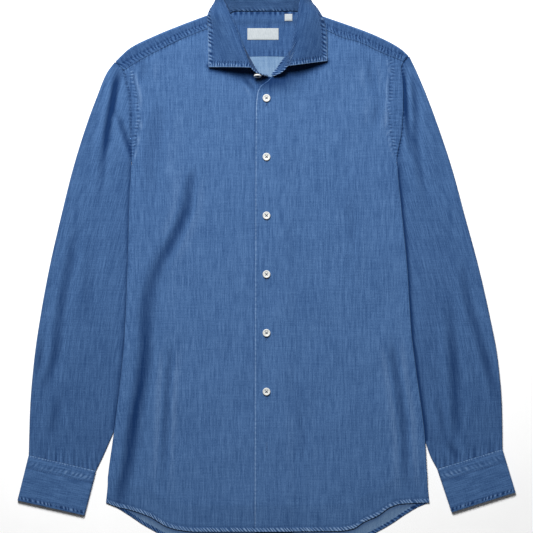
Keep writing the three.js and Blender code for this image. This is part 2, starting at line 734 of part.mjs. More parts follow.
// A four-hole shirt button with a raised rim, its back on z = 0
function buttonGeometry() {
  const profile = BUTTON_PROFILE.map(({ radius, height }) => new THREE.Vector2(radius, height));
  const disc = new THREE.LatheGeometry(profile, BUTTON_SIDES).rotateX(Math.PI / 2);
  let button = solidOf(disc);
  for (const [x, y] of [[-1, -1], [1, -1], [1, 1], [-1, 1]]) {
    const hole = new THREE.CylinderGeometry(
      BUTTON_HOLE_RADIUS,
      BUTTON_HOLE_RADIUS,
      BUTTON_HOLE_LENGTH,
      BUTTON_HOLE_SIDES,
    );
    hole.rotateX(Math.PI / 2).translate(x * BUTTON_HOLE_OFFSET, y * BUTTON_HOLE_OFFSET, 0);
    button = button.subtract(solidOf(hole));
  }
  return geometryOf(button);
}

function buttons() {
  const geometry = buttonGeometry();
  const made = [];
  for (let number = 1; number <= BUTTON_COUNT; number += 1) {
    const y = TOP_BUTTON_Y - BUTTON_PITCH * (number - 1);
    const button = piece(`button_${number}`, geometry, BUTTON_FINISH);
    button.position.set(0, y, overLow(0, y) + CLOTH + SEAM_GAP);
    made.push(button);
  }
  const loose = piece('button_stand', geometry, BUTTON_FINISH);
  loose.position.set(...STAND_BUTTON_PLACE);
  loose.rotation.x = degToRad(STAND_BUTTON_TILT);
  made.push(loose);
  return made;
}

// A bare label lying on the yoke's inside
function neckLabel() {
  const [width, height, thickness] = LABEL_SIZE;
  const label = piece('neck_label', new THREE.BoxGeometry(width, height, thickness), LABEL_FINISH);
  label.position.set(...LABEL_CENTRE, CLOTH + SEAM_GAP + thickness / 2);
  return label;
}

// A bare tab hanging from the neck seam, which follows the yoke's rise under it
function sizeTab() {
  const [width, height, thickness] = TAB_SIZE;
  const [centreX, centreY] = TAB_CENTRE;
  const inner = TAB_ROW_SHARES.map((down) => [-0.5, 0.5].map((across) => {
    const x = centreX + across * width;
    const y = centreY - down * height;
    return new THREE.Vector3(x, y, leafRise(x, y) + CLOTH + 2 * SEAM_GAP);
  }));
  const outer = inner.map((row) => row.map((point) => point.clone().setZ(point.z + thickness)));
  return piece('size_tab', wallGeometry(outer, inner), LABEL_FINISH);
}

const shirt = new THREE.Group();
shirt.add(back());
shirt.add(yoke());
shirt.add(frontRight());
shirt.add(frontLeft());
shirt.add(sleeve({
  name: 'sleeve_right',
  outerRows: RIGHT_SLEEVE_OUTER,
  freeRows: RIGHT_SLEEVE_FREE,
  side: rightSide,
  outward: -1,
  folds: RIGHT_SLEEVE_FOLDS,
}));
shirt.add(sleeve({
  name: 'sleeve_left',
  outerRows: LEFT_SLEEVE_OUTER,
  freeRows: LEFT_SLEEVE_FREE,
  side: leftSide,
  outward: 1,
  folds: LEFT_SLEEVE_FOLDS,
}));
shirt.add(cuff({ name: 'cuff_right', corners: RIGHT_CUFF }));
shirt.add(cuff({ name: 'cuff_left', corners: LEFT_CUFF }));
shirt.add(collarStand());
shirt.add(collarLeaf());
shirt.add(...buttons());
shirt.add(neckLabel());
shirt.add(sizeTab());

// The origin is on the surface, under the middle of the shirt.
const bounds = new THREE.Box3().setFromObject(shirt);
const middle = bounds.getCenter(new THREE.Vector3());
shirt.position.set(-middle.x, -middle.y, -bounds.min.z);
const model = new THREE.Group();
model.add(shirt);

export default model;
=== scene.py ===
import math

import bmesh
import bpy
import numpy as np
from mathutils import Matrix, Vector
from mathutils.bvhtree import BVHTree


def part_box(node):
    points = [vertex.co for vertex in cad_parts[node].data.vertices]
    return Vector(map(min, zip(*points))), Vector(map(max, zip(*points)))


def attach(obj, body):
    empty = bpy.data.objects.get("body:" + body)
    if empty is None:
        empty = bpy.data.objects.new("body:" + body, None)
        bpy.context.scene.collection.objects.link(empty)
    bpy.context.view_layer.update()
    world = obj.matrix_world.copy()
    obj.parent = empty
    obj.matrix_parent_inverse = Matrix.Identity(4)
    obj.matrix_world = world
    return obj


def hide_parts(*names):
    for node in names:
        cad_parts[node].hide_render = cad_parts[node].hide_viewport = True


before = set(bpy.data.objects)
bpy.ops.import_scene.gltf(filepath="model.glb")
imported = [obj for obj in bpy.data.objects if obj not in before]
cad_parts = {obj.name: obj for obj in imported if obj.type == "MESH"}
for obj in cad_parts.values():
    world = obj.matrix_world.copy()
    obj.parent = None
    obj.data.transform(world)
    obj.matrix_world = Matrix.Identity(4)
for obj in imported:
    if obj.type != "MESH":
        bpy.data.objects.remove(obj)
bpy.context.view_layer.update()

MM = 0.001
DRAWING_ZERO_Y = -1.196

# Cloth and how it lies
CLOTH = 1.0
DOUBLE_CLOTH = 1.6
EDGE_ROUND = 0.8
SEAM_GAP = 0.3
CLOSE_SEAM = 0.06
CLOSED_LOW = 1.5
LAYER_TOP = 5.2
SIDE_ROLL = 9
SIDE_SWELL = 4.2
SIDE_SWELL_WIDTH = 8
HEM_FALL = 40
HEM_BAND = 6.5
UNDER_EDGE = 17
OVERLAP_STEP = 1.5
OVERLAP_FADE_START = 28
OVERLAP_FADE_END = 48
UNDERARM_Y = 163
UNDERARM_TOP = 3.4
CUFF_TOP = 6.4
SIDE_CLEARANCE = 0.5
BACK_INSET = 0.2
NECK_RIGHT = -58
NECK_LEFT = 56
NECK_Y = 387.3

# How far apart the puckers and ticks along each kind of seam are
SEAM_PUCKER = 5.2
HEM_PUCKER = 6.2
HEM_TICK = 5
PLACKET_PUCKER = 7.5
STAND_PUCKER = 6.2
LEAF_PUCKER = 6.4

# Sewing thread
STITCH_PITCH = 3.2
STITCH_LENGTH = 2.3
STITCH_RADIUS = 0.2
THREAD_LIFT = 0.06
THREAD_SIDES = 6
SATIN_STEP = 0.55

# Outer edges of the body: height y, wearer's right x, wearer's left x
SIDE_ROWS = [
    (321, -229, 213.3), (312.5, -226.8, 206), (302, -215, 202), (282, -209, 204.5), (254, -203, 205),
    (210, -202, 203), (163, -202, 195.5), (104, -205, 200.5), (8, -207.5, 210), (-97, -212, 217),
    (-149, -216.5, 223.5), (-255, -229.5, 237), (-298, -235.5, 239.5), (-350, -241, 244.5),
]
# Edges as x, y
SHOULDER_ROWS = [
    (-226.8, 312.5), (-205, 332.3), (-169, 350.3), (-125, 368.3), (-88, 381.8), (-60, 391),
    (57, 391), (83, 380.6), (119, 368.3), (166, 350.3), (200, 332.3), (213.3, 321),
]
RIGHT_TOP_ROWS = [
    (-213.5, 299), (-195, 311), (-152, 334), (-127, 346), (-92, 360), (-58, 371), (-50, 359),
    (-33, 330), (-17.5, 302.5), (-12, 295), (-6, 291.5), (1, 290.5), (17, 286),
]
LEFT_TOP_ROWS = [
    (9, 290.5), (16, 301.5), (23, 312), (38, 330), (49, 357), (56, 371), (91, 358.5),
    (111.5, 349), (142, 340), (167, 328), (182, 321.5), (205.5, 312),
]
FRONT_HEM_ROWS = [
    (-241, -350), (-226, -356), (-205, -361), (-175, -371.5), (-151, -385.5), (-133, -391), (-104, -394),
    (106, -393), (130, -389.5), (146, -379.5), (167, -370), (187, -356.5), (203, -352), (244.5, -350),
]
BACK_HEM_ROWS = [
    (0, -424), (80, -423), (115, -417), (140, -408), (165, -395), (187, -382.5), (207, -369),
    (229, -356), (245, -350),
]
# The free edge of the wearer's left front, as y, x
OVER_EDGE_ROWS = [(291, 9), (282, 0), (274, -10.5), (263, -14.5), (240, -16.5), (-394, -18)]
# Outer edges of the sleeves, then their free inner edges below the body's side, as y, x
RIGHT_SLEEVE_OUTER = [
    (311, -228.2), (296, -239.3), (260, -254.3), (224, -267.8), (152, -290.3), (80, -308.3),
    (8, -324.8), (-64, -338.3), (-136, -348.8), (-208, -354.8), (-278.3, -356.9),
]
LEFT_SLEEVE_OUTER = [
    (319.5, 214.6), (296, 225.8), (260, 240.8), (224, 254.3), (152, 278.3), (80, 297.8),
    (8, 317.3), (-64, 333.8), (-136, 347.3), (-208, 353.3), (-269.3, 354.2),
]
RIGHT_SLEEVE_FREE = [(-241.5, -228.4), (-280, -245.3), (-301.7, -255.8)]
LEFT_SLEEVE_FREE = [(-258, 238.2), (-280, 246), (-299, 256.1)]
# Cuff corners: sleeve end and open end at the outer fold, then the same at the inner edge
RIGHT_CUFF = [(-356.9, -278.6), (-373.8, -346.5), (-255.8, -302), (-273, -369)]
LEFT_CUFF = [(354.2, -269.6), (373.8, -334.4), (256.1, -299.3), (277.8, -364.5)]

# Sections of the collar from the wearer's right front round the neck: seam, roll, over, under, edge
COLLAR_ROWS = [
    ((-17.5, 303.5, 5.9), (-22.7, 300.8, 25), (-42, 301.5, 28), (-66, 302.4, 16), (-86.6, 303, 9.5)),
    ((-33, 331, 5.9), (-34, 329, 27), (-52, 331, 30), (-71, 333, 17), (-87.2, 334, 9.5)),
    ((-50, 360, 5.9), (-46, 361.5, 28), (-62, 362, 30), (-77, 362, 18), (-87.6, 362, 9.5)),
    ((-57, 376, 5.9), (-54.5, 381, 28), (-68, 384, 29), (-85, 385, 19), (-87.8, 382, 8)),
    ((-55.5, 383.5, 4.9), (-61.5, 395.5, 27), (-72, 401, 27), (-84, 400, 6), (-79, 394, 1)),
    ((-49, 387.3, 4.2), (-66, 409, 26), (-74, 421, 22), (-79, 404, -4), (-62, 385, 0.8)),
    ((-27, 387.8, 4.2), (-36, 419, 25), (-40, 437, 20), (-37, 405, -4), (-30, 379, 0.8)),
    ((26, 387.8, 4.2), (24, 419, 25), (27, 437, 20), (26, 405, -4), (24, 379, 0.8)),
    ((46, 387.3, 4.2), (50.5, 409, 26), (63, 421, 22), (71, 404, -4), (54, 385, 0.8)),
    ((53, 383.5, 4.9), (49.3, 396, 27), (62, 401, 27), (74, 400, 5), (70, 395, 0.8)),
    ((55.5, 376, 5.9), (46.8, 381, 28), (60, 384, 29), (79, 384, 19), (82.5, 381, 8)),
    ((49, 358, 6), (42.5, 358, 28), (58, 358, 30), (78, 357.5, 18), (89.3, 357, 9.5)),
    ((38, 331, 7), (38, 331, 27), (56, 332, 30), (76, 333.5, 17), (90.3, 334, 9.5)),
    ((23, 313, 7.5), (31.5, 303.3, 25), (50, 305, 28), (72, 309.5, 16), (90.9, 312.2, 9.5)),
]
RIGHT_STAND_END = [((1, 291.5, 5.9), (2.3, 290.6, 14)), ((-6, 292, 5.9), (-6.5, 291.5, 21)),
                   ((-12.5, 296, 5.9), (-14.3, 293.6, 24))]
LEFT_STAND_END = [((15.8, 302.3, 7.5), (23.3, 294.6, 21)), ((7, 292.5, 7.5), (11.3, 289.4, 13))]

# Folds: width, ridge beside the trough as a share of it, then x, y, depth along the trough
FRONT_FOLDS = [
    (8.5, 0.16, [(-104, 156, 0), (-114, 134, 0.9), (-120, 94, 1.5), (-128, 72, 1.7), (-138, 48, 1.5),
                 (-157, 14, 1.0), (-169, -12, 0.8), (-180, -46, 0.8), (-184, -136, 1.1), (-192, -190, 1.3),
                 (-199, -226, 1.3), (-205, -265, 1.2), (-211, -301, 1.2), (-222, -346, 0.9)]),
    (17, 0.08, [(-142, 60, 0), (-162, 14, 0.5), (-176, -46, 0.7), (-182, -136, 0.7), (-190, -190, 0.7),
                (-200, -265, 0.7), (-214, -340, 0.4)]),
    (6, 0.3, [(-144, -104, 0), (-146, -136, 0.8), (-150, -190, 1.1), (-151, -226, 1), (-155, -300, 0.5),
              (-158, -345, 0)]),
    (15, 0.2, [(-158, 262, 0), (-164, 225, 0.5), (-170, 194, 0.6), (-176, 134, 0.4), (-178, 96, 0)]),
    (9, 0.3, [(-185, 319, 0), (-185, 299, 0.6), (-184, 278, 0)]),
    (6, 0.3, [(152, 320, 0), (156, 290, 0.7), (160, 262, 0)]),
    (7, 0.3, [(172, 268, 0), (163, 232, 0.7), (158, 202, 0)]),
    (7, 0.3, [(186, -96, 0), (191, -136, 1), (198, -180, 1), (205, -226, 1.1), (209, -301, 0.8),
              (212, -340, 0)]),
    (3.5, 0.4, [(-36, 288, 0), (-30, 281, 0.8), (-23, 273, 0.9), (-17, 264, 0)]),
    (9, 0.2, [(120, 150, 0), (128, 60, 0.3), (120, -40, 0)]),
    (8, 0.2, [(44, -150, 0), (52, -230, 0.35), (56, -330, 0)]),
]
RIGHT_SLEEVE_FOLDS = [
    (5.5, 0.25, [(-219, 304, 0), (-226, 280, 1.9), (-231, 250, 2.4), (-237, 220, 2.1), (-241, 194, 1.8),
                 (-246, 160, 0.8), (-252, 96, 0)]),
    (4.5, 0.3, [(-231, 246, 0), (-222, 226, 0.9), (-214, 205, 1.1), (-207, 184, 1.3),
                (-202, 168, 0.8), (-204, 140, 0)]),
    (7, 0.3, [(-288, 70, 0), (-295, 14, 0.9), (-301, -16, 0.8), (-307, -46, 1), (-312, -80, 0.8),
              (-318, -128, 1.1), (-326, -156, 0.8), (-340, -186, 0)]),
    (6, 0.3, [(-336, -96, 0), (-341, -136, 0.9), (-345, -170, 0)]),
    (7, 0.3, [(-312, -186, 0), (-319, -226, 0.7), (-324, -258, 0)]),
    (9, 0.3, [(-262, 60, 0), (-270, -20, 0.3), (-268, -110, 0)]),
]
LEFT_SLEEVE_FOLDS = [
    (4, 0.4, [(206, 306, 0), (207, 280, 1.5), (209, 254, 1.9), (211, 224, 1.6), (214, 186, 0.8),
              (217, 160, 0)]),
    (5.5, 0.3, [(216, 300, 0), (221, 266, 1.1), (223, 230, 0.9), (222, 194, 1.1), (232, 130, 0.4),
                (240, 80, 0)]),
    (7, 0.3, [(292, 20, 0), (299, -34, 0.7), (309, -70, 0.8), (322, -112, 0.8), (330, -140, 1),
              (342, -180, 0.6), (350, -220, 0)]),
    (8, 0.3, [(270, -40, 0), (276, -90, 0.6), (281, -136, 1.1), (283, -180, 0.9), (284, -226, 0.8),
              (286, -256, 0)]),
    (5, 0.3, [(257, -186, 0), (263, -226, 0.7), (268, -262, 0)]),
    (6, 0.4, [(272, -256, 0), (280, -272, 0.9), (286, -289, 0)]),
]

# Middles of the buttonholes down the wearer's left front, the last one left empty
BUTTONHOLE_ROWS = [252.5, 166.8, 78.2, -9.7, -99, -187.2, -266]
BUTTONHOLE_HALF = 7.5

# Stitched lines on the body, as x, y
RIGHT_ARMHOLE_STITCH = [
    (-204, 309), (-200.7, 304.8), (-196.2, 281.9), (-190, 251.2), (-188.5, 228.3), (-192.3, 205.2),
    (-197.7, 174.8), (-200.5, 165),
]
LEFT_ARMHOLE_STITCH = [
    (183, 319), (183.5, 312.5), (185, 297.1), (182, 266.5), (181, 236), (182, 212.9), (185, 197.5),
    (192.6, 168.8), (194, 164.5),
]
# Painted shadow on the fronts under the collar's lower edge, as x, y, how far it reaches
COLLAR_SHADOW_LINE = [
    (-88, 306, 3), (-84, 300, 4), (-60, 298, 8), (-30, 294, 13), (-8, 288, 14), (6, 284, 14), (20, 288, 17),
    (36, 299, 16), (60, 304, 11), (84, 308, 4), (91, 312, 3),
]


def smoothstep(value, low, high):
    share = np.clip((value - low) / (high - low), 0, 1)
    return share * share * (3 - 2 * share)


def bell(value, middle, width):
    """1 at a middle value, falling softly to nothing a little more than a width away"""
    return np.exp(-(((value - middle) / width) ** 2))


def line_through(rows, key, value):
    """A smooth line through two columns of a table. It never swings past the rows."""
    ordered = sorted((row[key], row[value]) for row in rows)
    xs = np.array([place[0] for place in ordered], float)
    ys = np.array([place[1] for place in ordered], float)
    gaps = np.diff(xs)
    slopes = np.diff(ys) / gaps
    tangents = np.zeros_like(ys)
    tangents[0], tangents[-1] = slopes[0], slopes[-1]
    for i in range(1, len(xs) - 1):
        if slopes[i - 1] * slopes[i] > 0:
            before, after = 2 * gaps[i] + gaps[i - 1], gaps[i] + 2 * gaps[i - 1]
            tangents[i] = (before + after) / (before / slopes[i - 1] + after / slopes[i])

    def at(x):
        x = np.clip(np.asarray(x, float), xs[0], xs[-1])
        i = np.clip(np.searchsorted(xs, x) - 1, 0, len(xs) - 2)
        t = (x - xs[i]) / gaps[i]
        rise = ys[i] * (2 * t**3 - 3 * t**2 + 1) + ys[i + 1] * (3 * t**2 - 2 * t**3)
        return rise + gaps[i] * (tangents[i] * (t**3 - 2 * t**2 + t) + tangents[i + 1] * (t**3 - t**2))

    return at


right_side = line_through(SIDE_ROWS, 0, 1)
left_side = line_through(SIDE_ROWS, 0, 2)
over_edge = line_through(OVER_EDGE_ROWS, 0, 1)
front_hem = line_through(FRONT_HEM_ROWS, 0, 1)
back_hem_line = line_through(BACK_HEM_ROWS, 0, 1)
shoulder_fold = line_through(SHOULDER_ROWS, 0, 1)
right_top = line_through(RIGHT_TOP_ROWS, 0, 1)
left_top = line_through(LEFT_TOP_ROWS, 0, 1)


def stitch_line(rows):
    return line_through(rows, 1, 0)


def back_hem(x):
    return back_hem_line(np.abs(x))


def back_seam(x):
    return 320 - 35 * (x / 206) ** 2


def spaced(length, step, fine_start=(), fine_end=()):
    """Places from 0 to length: fine ones at either end, then about a step apart. As shares of the length."""
    low, high = (fine_start[-1] if fine_start else 0), length - (fine_end[-1] if fine_end else 0)
    middle = np.linspace(low, high, max(2, int(round((high - low) / step)) + 1))
    places = sorted({0.0, length, *fine_start, *[length - d for d in fine_end], *middle.tolist()})
    return np.array(places) / length


def catmull_rom(points, steps):
    """A smooth line through points, steps places to each stretch, with even speed along each."""
    points = np.array(points, float)
    ends = [2 * points[0] - points[1], *points, 2 * points[-1] - points[-2]]
    line = []
    for i in range(1, len(ends) - 2):
        p0, p1, p2, p3 = ends[i - 1:i + 3]
        spans = ((p0, p1), (p1, p2), (p2, p3))
        d0, d1, d2 = (max(float(np.linalg.norm(b - a)), 1e-6) ** 0.5 for a, b in spans)
        m1 = ((p1 - p0) / d0 - (p2 - p0) / (d0 + d1) + (p2 - p1) / d1) * d1
        m2 = ((p2 - p1) / d1 - (p3 - p1) / (d1 + d2) + (p3 - p2) / d2) * d1
        for t in np.arange(steps) / steps:
            line.append(p1 * (2 * t**3 - 3 * t**2 + 1) + m1 * (t**3 - 2 * t**2 + t)
                        + p2 * (3 * t**2 - 2 * t**3) + m2 * (t**3 - t**2))
    line.append(points[-1])
    return np.array(line)


def to_line(x, y, line):
    """Distance to a bent line, how far along it the nearest place is, and the line's third column there."""
    best = np.full(x.shape, 1e9)
    along = np.zeros(x.shape)
    extra = np.zeros(x.shape)
    length = 0.0
    for start, end in zip(line[:-1], line[1:]):
        run = end - start
        size = float(np.hypot(run[0], run[1])) or 1e-9
        t = np.clip(((x - start[0]) * run[0] + (y - start[1]) * run[1]) / size**2, 0, 1)
        away = np.hypot(x - start[0] - t * run[0], y - start[1] - t * run[1])
        nearer = away < best
        best = np.where(nearer, away, best)
        along = np.where(nearer, length + t * size, along)
        if len(start) > 2:
            extra = np.where(nearer, start[2] + t * run[2], extra)
        length += size
    return best, along, extra


def fold_relief(x, y, folds):
    """Troughs with a soft ridge on both sides, as a height"""
    relief = np.zeros(x.shape)
    for width, ridge, rows in folds:
        away, _, depth = to_line(x, y, catmull_rom(rows, 5))
        trough = bell(away, 0, width)
        shoulder = bell(away, 1.9 * width, width)
        relief += depth * (ridge * shoulder - trough)
    return relief


def slow_waves(x, y, seed, length, count=7):
    """Soft uneven waves about a given length, between -1 and 1"""
    draw = np.random.default_rng(seed)
    total = np.zeros(np.shape(x))
    for _ in range(count):
        turn, phase = draw.uniform(0, 2 * math.pi, 2)
        size = length * draw.uniform(0.6, 1.7)
        total += np.sin(2 * math.pi * (x * math.cos(turn) + y * math.sin(turn)) / size + phase)
    return total / count**0.5 / 1.5


def puckers(along, away, pitch, seed, slant=0.0):
    """Uneven ropy waves along a seam, between -1 and 1"""
    draw = np.random.default_rng(seed)
    warp = np.zeros(np.shape(along))
    swell = np.ones(np.shape(along)) * 0.75
    for size in (31.0, 17.0, 53.0):
        warp += draw.uniform(0.5, 1.0) * np.sin(2 * math.pi * along / size + draw.uniform(0, 6.3))
        swell += 0.16 * np.sin(2 * math.pi * along / (size * 0.7) + draw.uniform(0, 6.3))
    turn = 2 * math.pi * (along + slant * away) / pitch
    return swell * (0.8 * np.sin(turn + 1.6 * warp) + 0.35 * np.sin(1.73 * turn - warp + 1))


def no_puckers(x):
    return np.zeros(np.shape(x) + (3,))


def pucker_along(seam, along, away, pitch, strength):
    """Notes where a seam puckers the cloth: how far along and away from it, in puckers, and how strongly."""
    here = np.stack(np.broadcast_arrays(along / pitch, away / pitch, strength), -1)
    stronger = here[..., 2] > seam[..., 2]
    seam[stronger] = here[stronger]


def edge_wall(away, thickness):
    """The cloth's thickness, rounding off towards a free edge"""
    share = np.clip(away / EDGE_ROUND, 0, 1)
    return thickness * (0.35 + 0.65 * np.sqrt(1 - (1 - share) ** 2))


def make_cloth(name, outer, inner, grain, wear_and_shade, slots=("denim_outside", "denim_inside"), ring=False,
               cells=None, dark_inside=None, seam=None):
    """A closed wall of cloth between two grids of places, in millimetres. A ring's last column joins its
    first. grain holds each place on the uncut cloth; the next grid holds how light or dark each place is
    rubbed, together with painted shade and highlight; seam where it puckers. cells says which of the grid's
    cells have cloth, dark_inside where the inside is folded over."""
    rows, columns = outer.shape[:2]
    count = rows * columns
    r, c = np.meshgrid(np.arange(rows - 1), np.arange(columns if ring else columns - 1), indexing="ij")
    kept = np.ones(r.shape, bool) if cells is None else cells
    dark = np.zeros(r.shape, bool) if dark_inside is None else dark_inside
    r, c, dark = r[kept], c[kept], dark[kept]
    after = (c + 1) % columns
    wide = grain.shape[1]
    here, below = r * columns, (r + 1) * columns
    quads = np.stack([here + c, here + after, below + after, below + c], 1)
    mark, mark_below = r * wide + c, (r + 1) * wide + c
    marks = np.stack([mark, mark + 1, mark_below + 1, mark_below], 1)
    starts, ends = quads.ravel(), np.roll(quads, -1, 1).ravel()
    mark_starts, mark_ends = marks.ravel(), np.roll(marks, -1, 1).ravel()
    is_open = ~np.isin(ends * count + starts, starts * count + ends)
    starts, ends = starts[is_open], ends[is_open]
    rim = np.stack([ends, starts, starts + count, ends + count], 1)
    mark_starts, mark_ends = mark_starts[is_open], mark_ends[is_open]
    rim_marks = np.stack([mark_ends, mark_starts, mark_starts, mark_ends], 1)
    faces = np.concatenate([quads, quads[:, ::-1] + count, rim])
    corners = np.concatenate([marks, marks[:, ::-1], rim_marks])
    inside = np.where(dark, 0, 1)
    face_slots = np.concatenate([np.zeros(len(quads), int), inside, np.zeros(len(rim), int)])
    places = np.concatenate([outer.reshape(-1, 3), inner.reshape(-1, 3)])
    places = (places + np.array([0, DRAWING_ZERO_Y, 0])) * MM
    # How rubbed each place is, with painted shade in folds, recesses and under other parts and painted
    # highlight on fold ridges, for both walls
    worn = np.concatenate([wear_and_shade.ravel(), wear_and_shade.ravel()])
    a, b, d, e = (places[faces[:, i]] for i in range(4))
    volume = np.einsum("ij,ij->", a, np.cross(b, d)) + np.einsum("ij,ij->", a, np.cross(d, e))
    if volume < 0:
        faces, corners = faces[:, ::-1], corners[:, ::-1]
    used, faces = np.unique(faces, return_inverse=True)
    faces = faces.reshape(-1, 4)
    mesh = bpy.data.meshes.new(name)
    mesh.from_pydata(places[used].tolist(), [], faces.tolist())
    grain_map = mesh.uv_layers.new(name="grain")
    grain_map.data.foreach_set("uv", (grain.reshape(-1, 2) * MM)[corners.ravel()].ravel())
    mesh.attributes.new("wear_and_shade", "FLOAT", "POINT").data.foreach_set("value", worn[used])
    puckered = (no_puckers(wear_and_shade) if seam is None else seam).reshape(-1, 3)
    puckered = np.concatenate([puckered, puckered])
    mesh.attributes.new("seam", "FLOAT_VECTOR", "POINT").data.foreach_set("vector", puckered[used].ravel())
    for slot in slots:
        mesh.materials.append(materials[slot])
    mesh.polygons.foreach_set("material_index", face_slots)
    mesh.polygons.foreach_set("use_smooth", np.ones(len(faces), bool))
    mesh.update()
    piece = bpy.data.objects.new(name, mesh)
    bpy.context.scene.collection.objects.link(piece)
    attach(piece, "root")
    return piece


def panel(name, x, y, outer_height, inner_height, grain, wear_and_shade, **more):
    """A wall of cloth over a grid of plan places"""
    outer = np.stack([x, y, outer_height], -1)
    inner = np.stack([x, y, inner_height], -1)
    return make_cloth(name, outer, inner, grain, wear_and_shade, **more)


def panel_places(across, top_from, top_to, top, hem, start, end, shares):
    """Plan places of a panel between its two long edges, its upper edge and its hem"""
    top_x = top_from + (top_to - top_from) * across
    top_y = top(top_x)
    top_share = (top_x - start(top_y)) / (end(top_y) - start(top_y))
    share = shares[:, None]
    blend = smoothstep(share, 0, 1)
    across_here = top_share * (1 - blend) + across * blend
    x = np.repeat(top_x[None, :], len(shares), 0)
    for _ in range(5):
        y = top_y + (hem(x) - top_y) * share
        x = np.where(share == 0, top_x, start(y) + (end(y) - start(y)) * across_here)
    return x, y


def side_lift(x, y):
    """How far the front stands off the back, from 0 at the side seams and the hem to 1"""
    from_side = np.clip(np.minimum(x - right_side(y), left_side(y) - x) / SIDE_ROLL, 0, 1)
    roll = np.sqrt(1 - (1 - from_side) ** 2)
    roll = np.maximum(roll, smoothstep(y, UNDERARM_Y - 30, UNDERARM_Y))
    return roll * np.clip((y - front_hem(x)) / HEM_FALL, 0, 1)


def front_relief(x, y, top, seed):
    """Height that seams, hem and puckers add to a front, how they rub the cloth lighter or darker, and
    painted shade below the yoke's edge, by the side seams and under the collar
    """
    below_seam = np.maximum(top(x) - y, 0) * 0.9
    at_yoke = smoothstep(np.abs(x), 57, 64)
    rope = puckers(x * 1.1, below_seam, SEAM_PUCKER, seed)
    height = at_yoke * bell(below_seam, 0, 5) * (0.3 * rope - 0.5)
    # Painted shade in the dip just below the yoke's edge
    wear_and_shade = -0.3 * at_yoke * bell(below_seam, 0, 4)
    seam = no_puckers(x)
    pucker_along(seam, x * 1.1, below_seam, SEAM_PUCKER, 0.5 * at_yoke * bell(below_seam, 0, 4.5))
    stitch = RIGHT_ARMHOLE_STITCH if seed == RIGHT_SEED else LEFT_ARMHOLE_STITCH
    from_stitch = stitch_line(stitch)(y) - x
    inward = from_stitch if seed == LEFT_SEED else -from_stitch
    from_side = np.minimum(x - right_side(y), left_side(y) - x)
    beside = smoothstep(y, UNDERARM_Y - 2, UNDERARM_Y + 12) * smoothstep(below_seam, 0, 6)
    rope = puckers(y, from_side, SEAM_PUCKER, seed + 1, 0.25)
    in_band = 1 - smoothstep(inward, -1.2, 0.8)
    by_stitch = bell(inward, -3.5, 3.5)
    height += beside * (in_band * (0.4 + 0.22 * rope) - 0.35 * bell(inward, 0, 1.3))
    wear_and_shade -= 0.18 * beside * in_band
    pucker_along(seam, y, from_side, SEAM_PUCKER, beside * (in_band * (0.15 + 0.6 * by_stitch)))
    wear_and_shade += 0.3 * beside * bell(inward, 1.6, 1.5)
    wear_and_shade -= 0.2 * beside * bell(inward, -1, 1.3)
    # Painted shade along the body's armhole and side edges, where they meet the sleeve, above and below the
    # armpit
    wear_and_shade -= 0.25 * beside * np.exp(-from_side / 1.8)
    wear_and_shade -= 0.4 * (1 - smoothstep(y, UNDERARM_Y - 12, UNDERARM_Y + 4)) * np.exp(-from_side / 3)
    # Painted shadow under the collar's lower edge, reaching further on the wearer's left front
    away, _, width = to_line(x, y, np.array(COLLAR_SHADOW_LINE, float))
    width = width * (1.3 if seed == LEFT_SEED else 1)
    wear_and_shade -= bell(away, 0, width)
    over_hem = y - front_hem(x)
    rope = puckers(x, over_hem, HEM_PUCKER, seed + 2, 0.8)
    band = 1 - smoothstep(over_hem, HEM_BAND - 1, HEM_BAND + 1)
    height += band * (0.45 + 0.15 * rope) - 0.2 * bell(over_hem, HEM_BAND, 1.4)
    pucker_along(seam, x + 0.9 * over_hem, over_hem * 0.5, HEM_TICK, 1.15 * band)
    wear_and_shade += 0.12 * band + 0.5 * np.exp(-over_hem / 1.2)
    wear_and_shade -= 0.35 * bell(over_hem, HEM_BAND + 1, 1.6)
    return height, wear_and_shade, seam


def over_sleeve(x, y):
    """How far the body's side swells out past its seam, over the sleeve beside it"""
    below_armhole = 1 - smoothstep(y, UNDERARM_Y - 9, UNDERARM_Y + 1)
    def swell(from_side):
        return SIDE_SWELL * np.sin(np.pi * np.clip(from_side / SIDE_SWELL_WIDTH, 0, 1))
    outward = swell(left_side(y) - x) - swell(x - right_side(y))
    return outward * below_armhole * np.clip((y - front_hem(x)) / HEM_FALL, 0, 1)


def front_heights(x, y, top, seed):
    lift = side_lift(x, y)
    relief, wear_and_shade, seam = front_relief(x, y, top, seed)
    folds = fold_relief(x, y, FRONT_FOLDS)
    waves = 0.35 * slow_waves(x, y, 5, 85) + 0.12 * slow_waves(x, y * 0.4, 6, 26)
    height = CLOSED_LOW + 2.7 * lift + (1.3 * folds + waves) * lift
    # Painted shade in the fold troughs and painted highlight on their ridges
    wear_and_shade = wear_and_shade + 0.5 * np.clip(folds, -2.2, 0.4)
    return np.maximum(height, CLOSED_LOW), relief, wear_and_shade, seam


RIGHT_SEED = 11
LEFT_SEED = 23
PLACKET_SEED = 31
BACK_SEED = 41
FRONT_STEP = 2.5
FRONT_ROW_STEP = 2.15
BACK_STEP = 5
FINE_EDGE = (0.25, 0.7, 1.3, 2.2, 3.4, 5)
FINE_SEAM = (0.25, 0.7, 1.4, 2.3, 3.4, 4.8, 6.4, 8)


